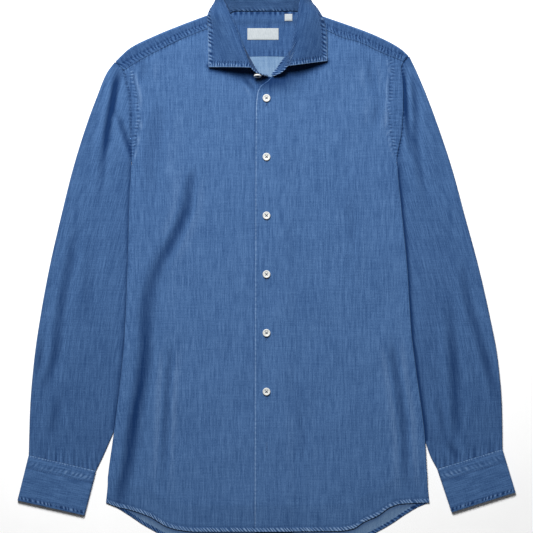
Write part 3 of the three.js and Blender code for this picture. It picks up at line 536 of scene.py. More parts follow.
def front_right():
    across = spaced(230.5, FRONT_STEP, FINE_EDGE, FINE_EDGE)
    shares = spaced(690, FRONT_ROW_STEP, FINE_SEAM, FINE_SEAM)
    def top(x):
        return right_top(x) - SEAM_GAP
    def end(y):
        return UNDER_EDGE + 0 * y
    x, y = panel_places(across, -213.5, UNDER_EDGE, top, front_hem, right_side, end, shares)
    low, relief, wear_and_shade, seam = front_heights(x, y, top, RIGHT_SEED)
    beside_overlap = over_edge(y) - x
    # Painted shadow cast by the wearer's left front's edge onto the front beneath it
    wear_and_shade = wear_and_shade - 0.3 * bell(beside_overlap, 0.6, 1.6) * (beside_overlap > -4)
    off_edge = np.minimum(np.minimum(UNDER_EDGE - x, y - front_hem(x)), top(x) - y + 0.3)
    upper = low + edge_wall(off_edge, CLOTH) + relief
    grain = np.stack([x, y], -1)
    x = x + over_sleeve(x, y)
    return panel("shirt_front_right", x, y, upper, low, grain, wear_and_shade, seam=seam)


def buttonhole_slits(x, y):
    """Painted shade in the cut of each buttonhole: how dark it makes the cloth"""
    dark = np.zeros(x.shape)
    for middle in BUTTONHOLE_ROWS:
        from_middle = np.abs(y - middle)
        dark += bell(x, 0, 0.9) * (1 - smoothstep(from_middle, BUTTONHOLE_HALF - 1, BUTTONHOLE_HALF))
    return dark


def front_left():
    across = spaced(196.5, 2.4, FINE_EDGE, FINE_EDGE)
    shares = spaced(690, FRONT_ROW_STEP, FINE_SEAM, FINE_SEAM)
    def top(x):
        return left_top(x) - SEAM_GAP
    x, y = panel_places(across, 9, 205.5, top, front_hem, over_edge, left_side, shares)
    low, relief, wear_and_shade, seam = front_heights(x, y, top, LEFT_SEED)
    low = low + OVERLAP_STEP * (1 - smoothstep(x, OVERLAP_FADE_START, OVERLAP_FADE_END))
    from_edge = x - over_edge(y)
    off_edge = np.minimum(np.minimum(from_edge, y - front_hem(x)), top(x) - y + 0.3)
    rope = puckers(y, from_edge, PLACKET_PUCKER, PLACKET_SEED)
    near_collar = smoothstep(y, 205, 258)
    wear_and_shade = wear_and_shade + (0.42 + 0.6 * near_collar) * bell(from_edge, 0.9, 1.2)
    wear_and_shade -= 0.15 * bell(from_edge, 3.4, 1.2)
    # Painted shade in the buttonhole cuts
    wear_and_shade -= buttonhole_slits(x, y)
    pucker_along(seam, y, from_edge, PLACKET_PUCKER, 0.25 * bell(from_edge, 0, 4))
    relief = relief + (0.3 + 0.08 * rope) * bell(from_edge, 0, 3)
    upper = low + edge_wall(off_edge, CLOTH) + relief
    grain = np.stack([x, y], -1)
    x = x + over_sleeve(x, y)
    return panel("shirt_front_left", x, y, upper, low, grain, wear_and_shade, seam=seam)


def back():
    across = spaced(414, BACK_STEP, FINE_EDGE, FINE_EDGE)
    shares = spaced(740, BACK_STEP, (0.25, 0.7, 1.4), FINE_SEAM)
    def top(x):
        return back_seam(x) - CLOSE_SEAM
    def start(y):
        return right_side(y) + BACK_INSET
    def end(y):
        return left_side(y) - BACK_INSET
    x, y = panel_places(across, -208, 202, top, back_hem, start, end, shares)
    over_hem = y - back_hem(x)
    off_edge = np.minimum(over_hem, np.minimum(x - start(y), end(y) - x) + 0.3)
    rope = puckers(x, over_hem, HEM_PUCKER, BACK_SEED, 0.8)
    band = 1 - smoothstep(over_hem, HEM_BAND - 1, HEM_BAND + 1)
    upper = edge_wall(off_edge, 0.9) + band * (0.3 + 0.12 * rope)
    seam = no_puckers(x)
    pucker_along(seam, x + 0.9 * over_hem, over_hem * 0.5, HEM_TICK, 1.15 * band)
    wear_and_shade = 0.5 * np.exp(-over_hem / 1.2) - 0.1 * band
    # Darker where the back shows below the front's hem, with a painted shadow right under the front hem's
    # edge
    below_front = front_hem(x) - y
    wear_and_shade = wear_and_shade - 0.46 * smoothstep(below_front, -6, 1) - 0.7 * bell(below_front, 0, 5)
    grain = np.stack([x, y], -1)
    in_band = over_hem[:-1, :-1] < HEM_BAND
    return panel("shirt_back", x, y, 0 * x, upper, grain, wear_and_shade, dark_inside=in_band, seam=seam)


def leaf_rise(x, y):
    """How far the yoke's back rises to pass over the collar leaf beneath it"""
    return 2.2 * smoothstep(y, 366, 376) * (1 - smoothstep(np.abs(x), 92, 108))


def yoke():
    right = spaced(155.5, 1.4, (0.25, 0.7), ())
    left = spaced(149.5, 1.4, (), (0.25, 0.7))
    centre = np.linspace(0, 1, 26)[1:-1]
    def across(right_end, left_end):
        """Places along one line of the yoke, from its right end past the neck to its left end"""
        to_neck = right_end + (NECK_RIGHT - right_end) * right
        from_neck = NECK_LEFT + (left_end - NECK_LEFT) * left
        return np.concatenate([to_neck, NECK_RIGHT + (NECK_LEFT - NECK_RIGHT) * centre, from_neck])
    seam_x = across(-213.5, 205.5)
    fold_x = across(-225.8, 212.3)
    back_x = across(-208, 202)
    at_neck = (np.arange(len(seam_x)) >= len(right)) & (np.arange(len(seam_x)) < len(right) + len(centre))
    back_shares = spaced(80, 3.0, (0.25, 0.7, 1.4, 2.4), (0.6, 1.3, 2.2, 3.2, 4.4, 5.8, 7.4))
    angles = np.radians(np.linspace(-78, 90, 13))
    strip_shares = spaced(30, 1.3, (), FINE_EDGE)[1:]
    fold_y = shoulder_fold(fold_x)
    rise = leaf_rise(fold_x, fold_y)
    radius = (LAYER_TOP - rise) / 2
    back_end = np.where(at_neck, 388.6, fold_y - radius)
    front_top = np.where(seam_x < 0, right_top(seam_x), left_top(seam_x))
    seam_y = np.where(at_neck, NECK_Y, front_top)
    outer, inner, wear_and_shade, cloth_y, seams = [], [], [], [], []
    seam_start = back_seam(back_x) + CLOSE_SEAM
    for share in back_shares:
        x = back_x + (fold_x - back_x) * share
        y = seam_start + (back_end - seam_start) * share
        z = leaf_rise(x, y)
        away = y - seam_start
        rope = puckers(x, away, 6.5, 51)
        outer.append((x, y, z))
        to_neck = np.where(at_neck, NECK_Y - y, 99)
        neck_rope = puckers(x, to_neck, 8.5, 57)
        at_seam = bell(to_neck, 2.5, 3)
        pucker = 0.18 * rope * bell(away, 0, 5) + 0.3 * neck_rope * at_seam
        inner.append((x, y, z + CLOTH * 0.9 + pucker))
        wear_and_shade.append(-0.1 * bell(away, 5, 6) - 0.36 - 0.35 * at_seam)
        seam = no_puckers(x)
        pucker_along(seam, x, away * 0.3, 7, 0.4 * bell(away, 5, 5))
        pucker_along(seam, x, to_neck * 0.3, 8.6, 0.75 * at_seam)
        seams.append(seam)
        cloth_y.append(y)
    for angle in angles:
        out, up = math.cos(angle), math.sin(angle)
        outer.append((fold_x, fold_y - radius + radius * out, rise + radius + radius * up))
        hollow = radius - CLOTH
        inner.append((fold_x, fold_y - radius + hollow * out, rise + radius + hollow * up))
        wear_and_shade.append(0.12 * out - 0.15 + 0 * fold_x)
        seams.append(no_puckers(fold_x))
        cloth_y.append(back_end + radius * (angle + math.pi / 2))
    cloth_at_fold = cloth_y[-1]
    for share in strip_shares:
        x = np.where(at_neck, fold_x, fold_x + (seam_x - fold_x) * share)
        y = fold_y - radius + (seam_y - fold_y + radius) * share
        away = np.abs(y - seam_y) * 0.9
        rope = puckers(seam_x * 1.1, away, SEAM_PUCKER, RIGHT_SEED, 0.3)
        near = bell(away, 4, 5)
        z = LAYER_TOP + 0.3 * near + 0.26 * rope * near - 0.3 * bell(away, 7, 1.5)
        wall = edge_wall(away, CLOTH)
        outer.append((x, y, z))
        inner.append((x, y, z - wall))
        wear_and_shade.append(0.12 * np.exp(-away / 1.2) - 0.2 * bell(away, 7, 2) - 0.44)
        seam = no_puckers(x)
        pucker_along(seam, seam_x * 1.1 + 0.3 * away, away * 2.5, SEAM_PUCKER, 0.75 * near)
        seams.append(seam)
        cloth_y.append(cloth_at_fold + (fold_y - radius - y))
    outer = np.stack([np.stack(place, -1) for place in outer], 1)
    inner = np.stack([np.stack(place, -1) for place in inner], 1)
    wear_and_shade = np.stack(wear_and_shade, 1)
    grain = np.stack([np.repeat(fold_x[:, None], wear_and_shade.shape[1], 1), np.stack(cloth_y, 1)], -1)
    cells = np.ones((outer.shape[0] - 1, outer.shape[1] - 1), bool)
    cells[len(right) - 1:len(right) + len(centre), len(back_shares) - 1:] = False
    slots = ("denim_outside", "denim_outside")
    return make_cloth("shirt_yoke", outer, inner, grain, wear_and_shade, slots, cells=cells,
                      seam=np.stack(seams, 1))


FOLD_STEPS = 9


def flat_tube(name, start, end, top, wall, wear_at, slots, floor_at=None, bow=None, grain_at=None,
              step=1.9):
    """A flattened tube from its outer fold to its inner edge. start and end hold a plan place for each ring,
    top and floor_at give the heights of its two layers at plan places."""
    width = np.linalg.norm(end - start, axis=1)
    shares = np.linspace(0.045, 0.955, int(width.mean() / step))
    under = np.linspace(0.93, 0.07, int(width.mean() / step / 3))
    rows = len(start)

    def place_at(share):
        share = np.broadcast_to(np.asarray(share, float), (rows,))
        place = start + (end - start) * share[:, None]
        return place if bow is None else place + bow(share)

    def height(share):
        place = place_at(share)
        return top(place[:, 0], place[:, 1], np.broadcast_to(share, (rows,)))

    def base(share):
        place = place_at(share)
        return np.zeros(rows) if floor_at is None else floor_at(place[:, 0], place[:, 1])

    def ring_at(inset):
        def turn(side, angle):
            low = base(side)
            radius = (height(side) - low) / 2
            inward = (radius - (radius - inset) * math.cos(angle)) / width
            place = place_at(inward if side == 0 else 1 - inward)
            return np.column_stack([place, low + radius + (radius - inset) * math.sin(angle)])
        def point(share, z):
            return np.column_stack([place_at(share), z])
        quarter = np.radians(np.linspace(0, 90, FOLD_STEPS))
        ring = [turn(0, angle) for angle in quarter]
        ring += [point(share, height(share) - inset) for share in shares]
        ring += [turn(1, angle) for angle in quarter[::-1]]
        ring += [turn(1, -angle) for angle in quarter[1:]]
        ring += [point(share, base(share) + inset) for share in under]
        ring += [turn(0, -angle) for angle in quarter[::-1][:-1]]
        return np.stack(ring, 1)

    outer, inner = ring_at(0), ring_at(wall)
    half = 2 * FOLD_STEPS + len(shares)
    if grain_at is None:
        steps = np.linalg.norm(np.diff(outer, axis=1, append=outer[:, :1]), axis=2)
        around = np.concatenate([np.zeros((rows, 1)), np.cumsum(steps, 1)], 1)
        middle = place_at(0.5)
        along = np.concatenate([[0], np.cumsum(np.linalg.norm(np.diff(middle, axis=0), axis=1))])
        grain = np.stack([np.repeat(along[:, None], around.shape[1], 1), around], -1)
    else:
        across = grain_at(outer[..., 0], outer[..., 1])
        edge = across[:, half - 1:half]
        across = np.concatenate([across[:, :half], 2 * edge - across[:, half:], 2 * edge], 1)
        grain = np.stack([across, np.concatenate([outer[..., 1], outer[:, :1, 1]], 1)], -1)
    wear_and_shade, seam = wear_at(outer)
    return make_cloth(name, outer, inner, grain, wear_and_shade, slots, ring=True, seam=seam)


SLEEVE_LENGTH = 465
SLEEVE_TUCKS = (5, 3.6, 2.3, 1.2, 0.5)
TUCK_TOP = 3.5
TUCK_LOW = 1.4


def sleeve(name, outer_rows, free_rows, side, outward, folds, seed):
    shoulder_y = outer_rows[0][0]
    cuff_outer_y = outer_rows[-1][0]
    cuff_inner_y = free_rows[-1][0]
    outer_line = line_through(outer_rows, 0, 1)
    free_line = line_through(free_rows, 0, 1)
    stations = np.concatenate([np.zeros(len(SLEEVE_TUCKS)), spaced(SLEEVE_LENGTH, 2.4, FINE_SEAM, FINE_SEAM)])
    tuck = np.zeros(len(stations))
    tuck[:len(SLEEVE_TUCKS)] = SLEEVE_TUCKS
    outer_y = shoulder_y + (cuff_outer_y - shoulder_y) * stations
    start = np.column_stack([outer_line(outer_y) - outward * tuck, outer_y])
    inner_y = UNDERARM_Y + (cuff_inner_y - UNDERARM_Y) * stations
    free_y = free_rows[0][0]
    beside_body = side(inner_y) + outward * SIDE_CLEARANCE
    inner_x = np.where(inner_y < free_y, free_line(np.minimum(inner_y, free_y)), beside_body)
    end = np.column_stack([inner_x - outward * tuck, inner_y])
    fade = (1 - np.clip(stations / 0.3, 0, 1)) ** 2

    def armhole(share):
        y = shoulder_y + (UNDERARM_Y - shoulder_y) * share
        return np.column_stack([side(y) + outward * SIDE_CLEARANCE, y])

    def bow(share):
        straight = armhole(0 * share) * (1 - share)[:, None] + armhole(1 + 0 * share) * share[:, None]
        return (armhole(share) - straight) * fade[:, None]

    inner_top = LAYER_TOP + (UNDERARM_TOP - LAYER_TOP) * smoothstep(stations, 0, 0.1)

    def sewn_in(x, y):
        """1 at the armhole, where the sleeve's end is tucked in between the body's layers, and 0 off it"""
        off_seam = outward * (x - side(y))
        return (1 - smoothstep(off_seam, 0.4, 4.5)) * smoothstep(y, UNDERARM_Y - 7, UNDERARM_Y - 1)

    def top(x, y, share):
        height = LAYER_TOP + (inner_top - LAYER_TOP) * smoothstep(share, 0.7, 1)
        opening = smoothstep(share, 0, 0.12) * (1 - smoothstep(share, 0.9, 1))
        folded = fold_relief(x, y, folds) + 0.3 * slow_waves(x, y, seed, 70)
        folded += 0.14 * slow_waves(x, y * 0.4, seed + 1, 24)
        near_cuff = np.exp(-((1 - stations) * SLEEVE_LENGTH / 22))
        gathers = 0.7 * near_cuff * np.sin(share * 31 + seed) * np.sin(share * 13.7 + 2)
        height = height + (folded + gathers) * opening
        tucked = sewn_in(x, y)
        return height + (TUCK_TOP - height) * tucked

    def floor_at(x, y):
        return TUCK_LOW * sewn_in(x, y)

    def grain_at(x, y):
        return np.abs(x - outer_line(y))

    def wear_at(outer):
        x, y = outer[..., 0], outer[..., 1]
        # Painted shade in the sleeve's fold troughs and painted highlight on their ridges
        wear_and_shade = 0.5 * np.clip(fold_relief(x, y, folds), -2.4, 0.4)
        # Painted shade on the sleeve along the armhole seam and beside the body's side below the armpit,
        # stronger on the wearer's left sleeve
        off_seam = outward * (x - side(y))
        near = bell(off_seam, 0, 4) * smoothstep(y, UNDERARM_Y, UNDERARM_Y + 10)
        beside = bell(off_seam, 0, 5) * (1 - smoothstep(y, UNDERARM_Y - 20, UNDERARM_Y + 10))
        beside = beside * (y > free_y)
        depth = 1.05 if outward > 0 else 0.6
        seam = no_puckers(x)
        pucker_along(seam, y, off_seam, SEAM_PUCKER, 0.5 * near)
        to_cuff = (1 - stations)[:, None] * SLEEVE_LENGTH + 0 * x
        pucker_along(seam, x, to_cuff * 0.2, 7, 0.45 * bell(to_cuff, 0, 14))
        wear_and_shade = wear_and_shade - 0.6 * depth * near - depth * beside
        # Painted shade: the sleeves are made darker than the body, and darker still towards the cuffs
        wear_and_shade = wear_and_shade - 0.2 - 0.1 * smoothstep(-y, 0, 250)
        return wear_and_shade, seam

    return flat_tube(name, start, end, top, CLOTH, wear_at, ("denim_outside", "denim_inside"),
                     floor_at=floor_at, bow=bow, grain_at=grain_at)


def cuff(name, corners, seed):
    top_outer, end_outer, top_inner, end_inner = (np.array(corner, float) for corner in corners)
    length = float(np.linalg.norm(end_outer - top_outer))
    stations = spaced(length, 1.25, FINE_EDGE, FINE_EDGE)[:, None]
    start = top_outer + (end_outer - top_outer) * stations
    end = top_inner + (end_inner - top_inner) * stations
    down = stations[:, 0] * length
    up = length - down
    across_x = float(np.linalg.norm(top_inner - top_outer))

    def top(x, y, share):
        along = share * across_x
        rope = puckers(along, down, 6.4, seed, 0.3)
        low_rope = puckers(along, up, 6.6, seed + 1, 0.5)
        seam = bell(down, 1, 4)
        second = bell(down, 18.7, 4)
        groove = bell(down, 18.7, 1.3) + bell(down, 2.4, 1.3)
        groove = groove + bell(up, SEAM_PUCKER, 1.3)
        opening = smoothstep(share, 0, 0.06) * (1 - smoothstep(share, 0.94, 1))
        relief = 0.3 * rope * (seam + second) + 0.3 * low_rope * bell(up, 0, 5.5) - 0.25 * groove
        end_round = 0.5 * (1 - np.clip(up / 1.4, 0, 1)) ** 2 + 0.5 * (1 - np.clip(down / 1.4, 0, 1)) ** 2
        return CUFF_TOP + relief * opening - end_round

    def wear_at(outer):
        around = np.cumsum(np.linalg.norm(np.diff(outer, axis=1, prepend=outer[:, :1]), axis=2), 1)
        here_down = down[:, None] + 0 * around
        here_up = length - here_down
        seam = no_puckers(around)
        pucker_along(seam, around, here_down, 4.5, 0.5 * bell(here_down, 1, 2))
        in_gathers = 0.6 * bell(here_down, 12, 4.5)
        pucker_along(seam, around + 0.5 * here_down, here_down, 7.5, in_gathers)
        pucker_along(seam, around + 0.5 * here_up, 0 * here_up, 6.6, 1.6 * bell(here_up, 4.5, 1.8))
        wear_and_shade = 0.3 * bell(here_down, 0, 1.4) - 0.42 * bell(here_up, 4, 3.5)
        wear_and_shade += 0.45 * np.exp(-here_up / 1) - 0.45 * bell(here_down, 19, 1.2)
        return wear_and_shade - 0.08, seam

    slots = ("denim_outside", "denim_outside")
    return flat_tube(name, start, end, top, DOUBLE_CLOTH, wear_at, slots, step=1.5)


def thicken(middle, wall):
    """Two grids, half a wall to each side of a middle one along its own normals"""
    along = np.gradient(middle, axis=0)
    across = np.gradient(middle, axis=1)
    normal = np.cross(along, across)
    normal /= np.linalg.norm(normal, axis=2, keepdims=True)
    half = np.asarray(wall)[..., None] / 2 if np.ndim(wall) else wall / 2
    return middle + normal * half, middle - normal * half, normal


def lengths(grid, axis):
    """How far each place is along a grid's lines"""
    steps = np.linalg.norm(np.diff(grid, axis=axis), axis=2)
    pad = np.zeros((1, grid.shape[1])) if axis == 0 else np.zeros((grid.shape[0], 1))
    return np.concatenate([pad, np.cumsum(steps, axis)], axis)


def fine_line(points, steps):
    """Extra places close to both ends of a line, for a free edge"""
    line = catmull_rom(points, steps)
    def towards(first, second, away):
        run = second - first
        return first + run * (away / np.linalg.norm(run))
    start = [towards(line[0], line[1], away) for away in (0.25, 0.7)]
    finish = [towards(line[-1], line[-2], away) for away in (0.7, 0.25)]
    return np.array([line[0], *start, *line[1:-1], *finish, line[-1]])


COLLAR_STEPS = 22
STAND_STEPS = 18


def collar_stand():
    rows = [*RIGHT_STAND_END, *COLLAR_ROWS, *LEFT_STAND_END]
    feet = fine_line([row[0] for row in rows], STAND_STEPS)
    tops = fine_line([row[1] for row in rows], STAND_STEPS)
    tops[:, 2] -= 1.5
    shares = spaced(21, 1.2, (0.25, 0.7), (0.25, 0.7))
    middle = feet[:, None] + (tops - feet)[:, None] * shares[None, :, None]
    along, up = lengths(middle, 0), lengths(middle, 1)
    height = up[:, -1:]
    rope = puckers(along[:, :1] + 0 * up, up, STAND_PUCKER, 61, 0.4)
    low = bell(up, 0, 4.5)
    high = bell(height - up, 0, 4.5)
    off_edge = np.minimum(np.minimum(up, height - up), np.minimum(along, along[-1:] - along))
    outer, inner, normal = thicken(middle, edge_wall(off_edge, DOUBLE_CLOTH))
    outer = outer + normal * (0.25 * rope * (low + high) * smoothstep(off_edge, 0, 1.5))[..., None]
    near_end = np.minimum(along, along[-1:] - along)
    at_end = np.exp(-((near_end / 42) ** 4))
    open_end = np.exp(-((near_end / 20) ** 4))
    place = along[:, :1] + 0 * up
    seam = no_puckers(up)
    pucker_along(seam, place + 0.4 * up, up, STAND_PUCKER, 0.9 * (low + high) * (1 - at_end))
    pucker_along(seam, place + 0.5 * up, up, 4.4, 2.2 * (low + high) * at_end)
    wear_and_shade = 0.12 * slow_waves(place, up, 64, 17) - 0.2 - 0.25 * at_end
    wear_and_shade += 0.9 * open_end * bell(height - up, 0, 1.2)
    wear_and_shade += 0.9 * bell(near_end, 0, 1.3)
    grain = np.stack([up, along], -1)
    return make_cloth("shirt_collar_stand", outer, inner, grain, wear_and_shade, ("denim_outside", "denim_outside"),
                      seam=seam)


def collar_leaf():
    roll, over, under, edge = (fine_line([row[i] for row in COLLAR_ROWS], COLLAR_STEPS) for i in (1, 2, 3, 4))
    t = spaced(62, 1.25, (0.25, 0.7), FINE_EDGE)[None, :, None]
    curve = (roll[:, None] * (1 - t) ** 3 + over[:, None] * 3 * t * (1 - t) ** 2
             + under[:, None] * 3 * t**2 * (1 - t) + edge[:, None] * t**3)
    curve[..., 2] = np.maximum(curve[..., 2], DOUBLE_CLOTH / 2)
    along, down = lengths(curve, 0), lengths(curve, 1)
    from_edge = down[:, -1:] - down
    from_end = np.minimum(along, along[-1:] - along)
    near_edge = np.minimum(from_edge, from_end)
    rope = np.where(from_edge < from_end, puckers(along, near_edge, LEAF_PUCKER, 71, 0.45),
                    puckers(down, near_edge, 3.9, 73, 0.2))
    band = bell(near_edge, 4, 3)
    groove = bell(near_edge, 7, 1.5)
    wall = edge_wall(np.minimum(near_edge, down + 0.4), DOUBLE_CLOTH)
    outer, inner, normal = thicken(curve, wall)
    lift = (0.5 * rope * band - 0.35 * groove) * smoothstep(near_edge, 0, 1.2)
    lift = lift + 0.3 * slow_waves(along, down, 72, 45)
    free = smoothstep(curve[..., 2], 2, 6)
    outer = outer + normal * (lift * free * side_sign(normal))[..., None]
    second = bell(near_edge, 8.5, 1.3)
    wear_and_shade = 0.15 * band - 0.3 * groove + 1.1 * bell(near_edge, 0, 1.2)
    seam = no_puckers(near_edge)
    by_side = np.where(from_edge < from_end, along, down)
    pitch = np.where(from_edge < from_end, LEAF_PUCKER, 4.2)
    pucker_along(seam, by_side + 0.45 * near_edge, near_edge, pitch, 1.5 * band + 0.7 * second)
    by_roll = bell(down, 2.5, 3) * (1 - smoothstep(curve[..., 1], 325, 365))
    by_roll = by_roll * (curve[..., 0] > 0)
    pucker_along(seam, along + 0.5 * down, down, 4.6, 2 * by_roll)
    # Painted shade: the leaf on the wearer's left is made darker than on the wearer's right; the whole leaf
    # is darker than the body, more so along the roll
    wear_and_shade = wear_and_shade - 0.38 - 0.1 * smoothstep(curve[..., 0], -20, 20) - 0.18 * bell(down, 0, 4)
    grain = np.stack([down, along], -1)
    return make_cloth("shirt_collar_leaf", outer, inner, grain, wear_and_shade, ("denim_outside", "denim_outside"),
                      seam=seam)


def side_sign(normal):
    """1 where the first of two grids lies on the leaf's upper side, all over the piece"""
    return 1.0 if normal[..., 2].sum() > 0 else -1.0


def linear(red, green, blue):
    """A colour as the eye sees it, 0 to 255, in the renderer's own numbers"""
    parts = [value / 255 for value in (red, green, blue)]
    return (*[part / 12.92 if part <= 0.04045 else ((part + 0.055) / 1.055) ** 2.4 for part in parts], 1)


def new_group(name, inputs, outputs):
    group = bpy.data.node_groups.new(name, "ShaderNodeTree")
    for socket, kind in inputs:
        group.interface.new_socket(socket, in_out="INPUT", socket_type=kind)
    for socket, kind in outputs:
        group.interface.new_socket(socket, in_out="OUTPUT", socket_type=kind)
    return group, group.nodes.new("NodeGroupInput"), group.nodes.new("NodeGroupOutput")


def stretched_noise(group, place, scale, detail, seed):
    """Noise drawn out along one way of the cloth"""
    mapping = group.nodes.new("ShaderNodeMapping")
    mapping.inputs["Scale"].default_value = (scale[0], scale[1], 1)
    mapping.inputs["Location"].default_value = (seed, seed * 0.7, seed)
    noise = group.nodes.new("ShaderNodeTexNoise")
    noise.inputs["Scale"].default_value = 1
    noise.inputs["Detail"].default_value = detail
    noise.inputs["Roughness"].default_value = 0.6
    group.links.new(place, mapping.inputs["Vector"])
    group.links.new(mapping.outputs["Vector"], noise.inputs["Vector"])
    return noise.outputs["Fac"]


def sum_of(group, parts):
    """Adds values up, each times its weight."""
    total = None
    for value, weight in parts:
        scaled = group.nodes.new("ShaderNodeMath")
        scaled.operation = "MULTIPLY_ADD"
        group.links.new(value, scaled.inputs[0])
        scaled.inputs[1].default_value = weight
        if total is None:
            scaled.inputs[2].default_value = 0
        else:
            group.links.new(total, scaled.inputs[2])
        total = scaled.outputs[0]
    return total


def ranged(group, value, low, high, to_low=0.0, to_high=1.0):
    node = group.nodes.new("ShaderNodeMapRange")
    node.inputs["From Min"].default_value = low
    node.inputs["From Max"].default_value = high
    node.inputs["To Min"].default_value = to_low
    node.inputs["To Max"].default_value = to_high
    group.links.new(value, node.inputs["Value"])
    return node.outputs["Result"]


def product(group, first, second):
    node = group.nodes.new("ShaderNodeMath")
    node.operation = "MULTIPLY"
    group.links.new(first, node.inputs[0])
    group.links.new(second, node.inputs[1])
    return node.outputs[0]


def mixed(group, share, first, second):
    """A mix of two colours, each a socket or a fixed colour"""
    node = group.nodes.new("ShaderNodeMix")
    node.data_type = "RGBA"
    group.links.new(share, node.inputs[0])
    for socket, colour in ((node.inputs[6], first), (node.inputs[7], second)):
        if isinstance(colour, bpy.types.NodeSocket):
            group.links.new(colour, socket)
        else:
            socket.default_value = colour
    return node.outputs[2]


def weave_group():
    """Slubby warp threads down the cloth, fainter weft across, and a fine twill"""
    group, given, made = new_group(
        "denim_weave", [("Grain", "NodeSocketVector")],
        [("Streak", "NodeSocketFloat"), ("Height", "NodeSocketFloat")])
    place = given.outputs["Grain"]
    slub = stretched_noise(group, place, (900, 42), 3, 3.1)
    band = stretched_noise(group, place, (300, 13), 2, 11.7)
    thread = stretched_noise(group, place, (1900, 420), 2, 23.9)
    weft = stretched_noise(group, place, (30, 900), 2, 37.3)
    cloud = stretched_noise(group, place, (22, 14), 2, 51.1)
    parts = [(slub, 0.37), (band, 0.14), (thread, 0.33), (weft, 0.12), (cloud, 0.04)]
    streak = sum_of(group, parts)
    group.links.new(ranged(group, streak, 0.42, 0.58), made.inputs["Streak"])
    twill = group.nodes.new("ShaderNodeTexWave")
    twill.wave_type = "BANDS"
    twill.bands_direction = "DIAGONAL"
    twill.inputs["Scale"].default_value = 420
    twill.inputs["Distortion"].default_value = 0.8
    group.links.new(place, twill.inputs["Vector"])
    height = sum_of(group, [(slub, 0.5), (thread, 0.6), (weft, 0.25), (twill.outputs["Fac"], 0.2)])
    group.links.new(height, made.inputs["Height"])
    return group


def puckering_group():
    """Light and dark ticks that puckers leave along a seam, from how far along and away from it a place is"""
    group, given, made = new_group(
        "seam_puckers", [("Seam", "NodeSocketVector")], [("Ticks", "NodeSocketFloat")])
    parts = group.nodes.new("ShaderNodeSeparateXYZ")
    group.links.new(given.outputs["Seam"], parts.inputs[0])
    place = group.nodes.new("ShaderNodeCombineXYZ")
    group.links.new(parts.outputs["X"], place.inputs["X"])
    group.links.new(parts.outputs["Y"], place.inputs["Y"])
    drift = stretched_noise(group, place.outputs[0], (0.4, 0.25), 2, 5.3)
    swell = stretched_noise(group, place.outputs[0], (0.8, 0.6), 1, 17.9)
    turn = sum_of(group, [(parts.outputs["X"], 2 * math.pi), (drift, 14)])
    wave = group.nodes.new("ShaderNodeMath")
    wave.operation = "SINE"
    group.links.new(turn, wave.inputs[0])
    uneven = product(group, wave.outputs[0], ranged(group, swell, 0.35, 0.65, 0.45, 1.35))
    group.links.new(product(group, uneven, parts.outputs["Z"]), made.inputs["Ticks"])
    return group


def rubbing_group():
    """Makes a cloth colour lighter or darker where its seams and edges are worn, and where shade and
    highlight are painted in.
    """
    group, given, made = new_group(
        "rubbing_and_shade", [("Cloth", "NodeSocketColor"), ("Worn", "NodeSocketColor"), ("Deep", "NodeSocketColor"),
                    ("WearAndShade", "NodeSocketFloat"), ("Streak", "NodeSocketFloat")],
        [("Color", "NodeSocketColor")])
    broken = sum_of(group, [(given.outputs["WearAndShade"], 1.0), (given.outputs["Streak"], 0.16)])
    lighter = ranged(group, broken, 0.1, 1.1, 0, 0.85)
    darker = ranged(group, broken, 0.06, -0.9, 0, 0.9)
    colour = mixed(group, lighter, given.outputs["Cloth"], given.outputs["Worn"])
    group.links.new(mixed(group, darker, colour, given.outputs["Deep"]), made.inputs["Color"])
    return group


def denim(name, shade, light, worn, deep):
    material = bpy.data.materials.new(name)
    material.use_nodes = True
    tree = material.node_tree
    finish = tree.nodes["Principled BSDF"]
    grain = tree.nodes.new("ShaderNodeUVMap")
    grain.uv_map = "grain"
    weave = tree.nodes.new("ShaderNodeGroup")
    weave.node_tree = groups["weave"]
    tree.links.new(grain.outputs["UV"], weave.inputs["Grain"])
    # Per-place values of how rubbed the cloth is, with painted shade and highlight mixed in
    wear_and_shade = tree.nodes.new("ShaderNodeAttribute")
    wear_and_shade.attribute_name = "wear_and_shade"
    rubbing_and_shade = tree.nodes.new("ShaderNodeGroup")
    rubbing_and_shade.node_tree = groups["rubbing_and_shade"]
    rubbing_and_shade.inputs["Worn"].default_value = worn
    rubbing_and_shade.inputs["Deep"].default_value = deep
    tree.links.new(mixed(tree, weave.outputs["Streak"], shade, light), rubbing_and_shade.inputs["Cloth"])
    seam = tree.nodes.new("ShaderNodeAttribute")
    seam.attribute_name = "seam"
    puckering = tree.nodes.new("ShaderNodeGroup")
    puckering.node_tree = groups["puckering"]
    tree.links.new(seam.outputs["Vector"], puckering.inputs["Seam"])
    ticks = puckering.outputs["Ticks"]
    tree.links.new(sum_of(tree, [(wear_and_shade.outputs["Fac"], 1), (ticks, 0.6)]), rubbing_and_shade.inputs["WearAndShade"])
    tree.links.new(weave.outputs["Streak"], rubbing_and_shade.inputs["Streak"])
    tree.links.new(rubbing_and_shade.outputs["Color"], finish.inputs["Base Color"])
    tree.links.new(ranged(tree, weave.outputs["Streak"], 0, 1, 0.92, 0.78), finish.inputs["Roughness"])
    bump = tree.nodes.new("ShaderNodeBump")
    bump.inputs["Strength"].default_value = 0.5
    bump.inputs["Distance"].default_value = 0.0004
    tree.links.new(sum_of(tree, [(weave.outputs["Height"], 1), (ticks, 1)]), bump.inputs["Height"])
    tree.links.new(bump.outputs["Normal"], finish.inputs["Normal"])
    finish.inputs["Specular IOR Level"].default_value = 0.06
    finish.inputs["Sheen Weight"].default_value = 0.02
    finish.inputs["Sheen Roughness"].default_value = 0.5
    return material


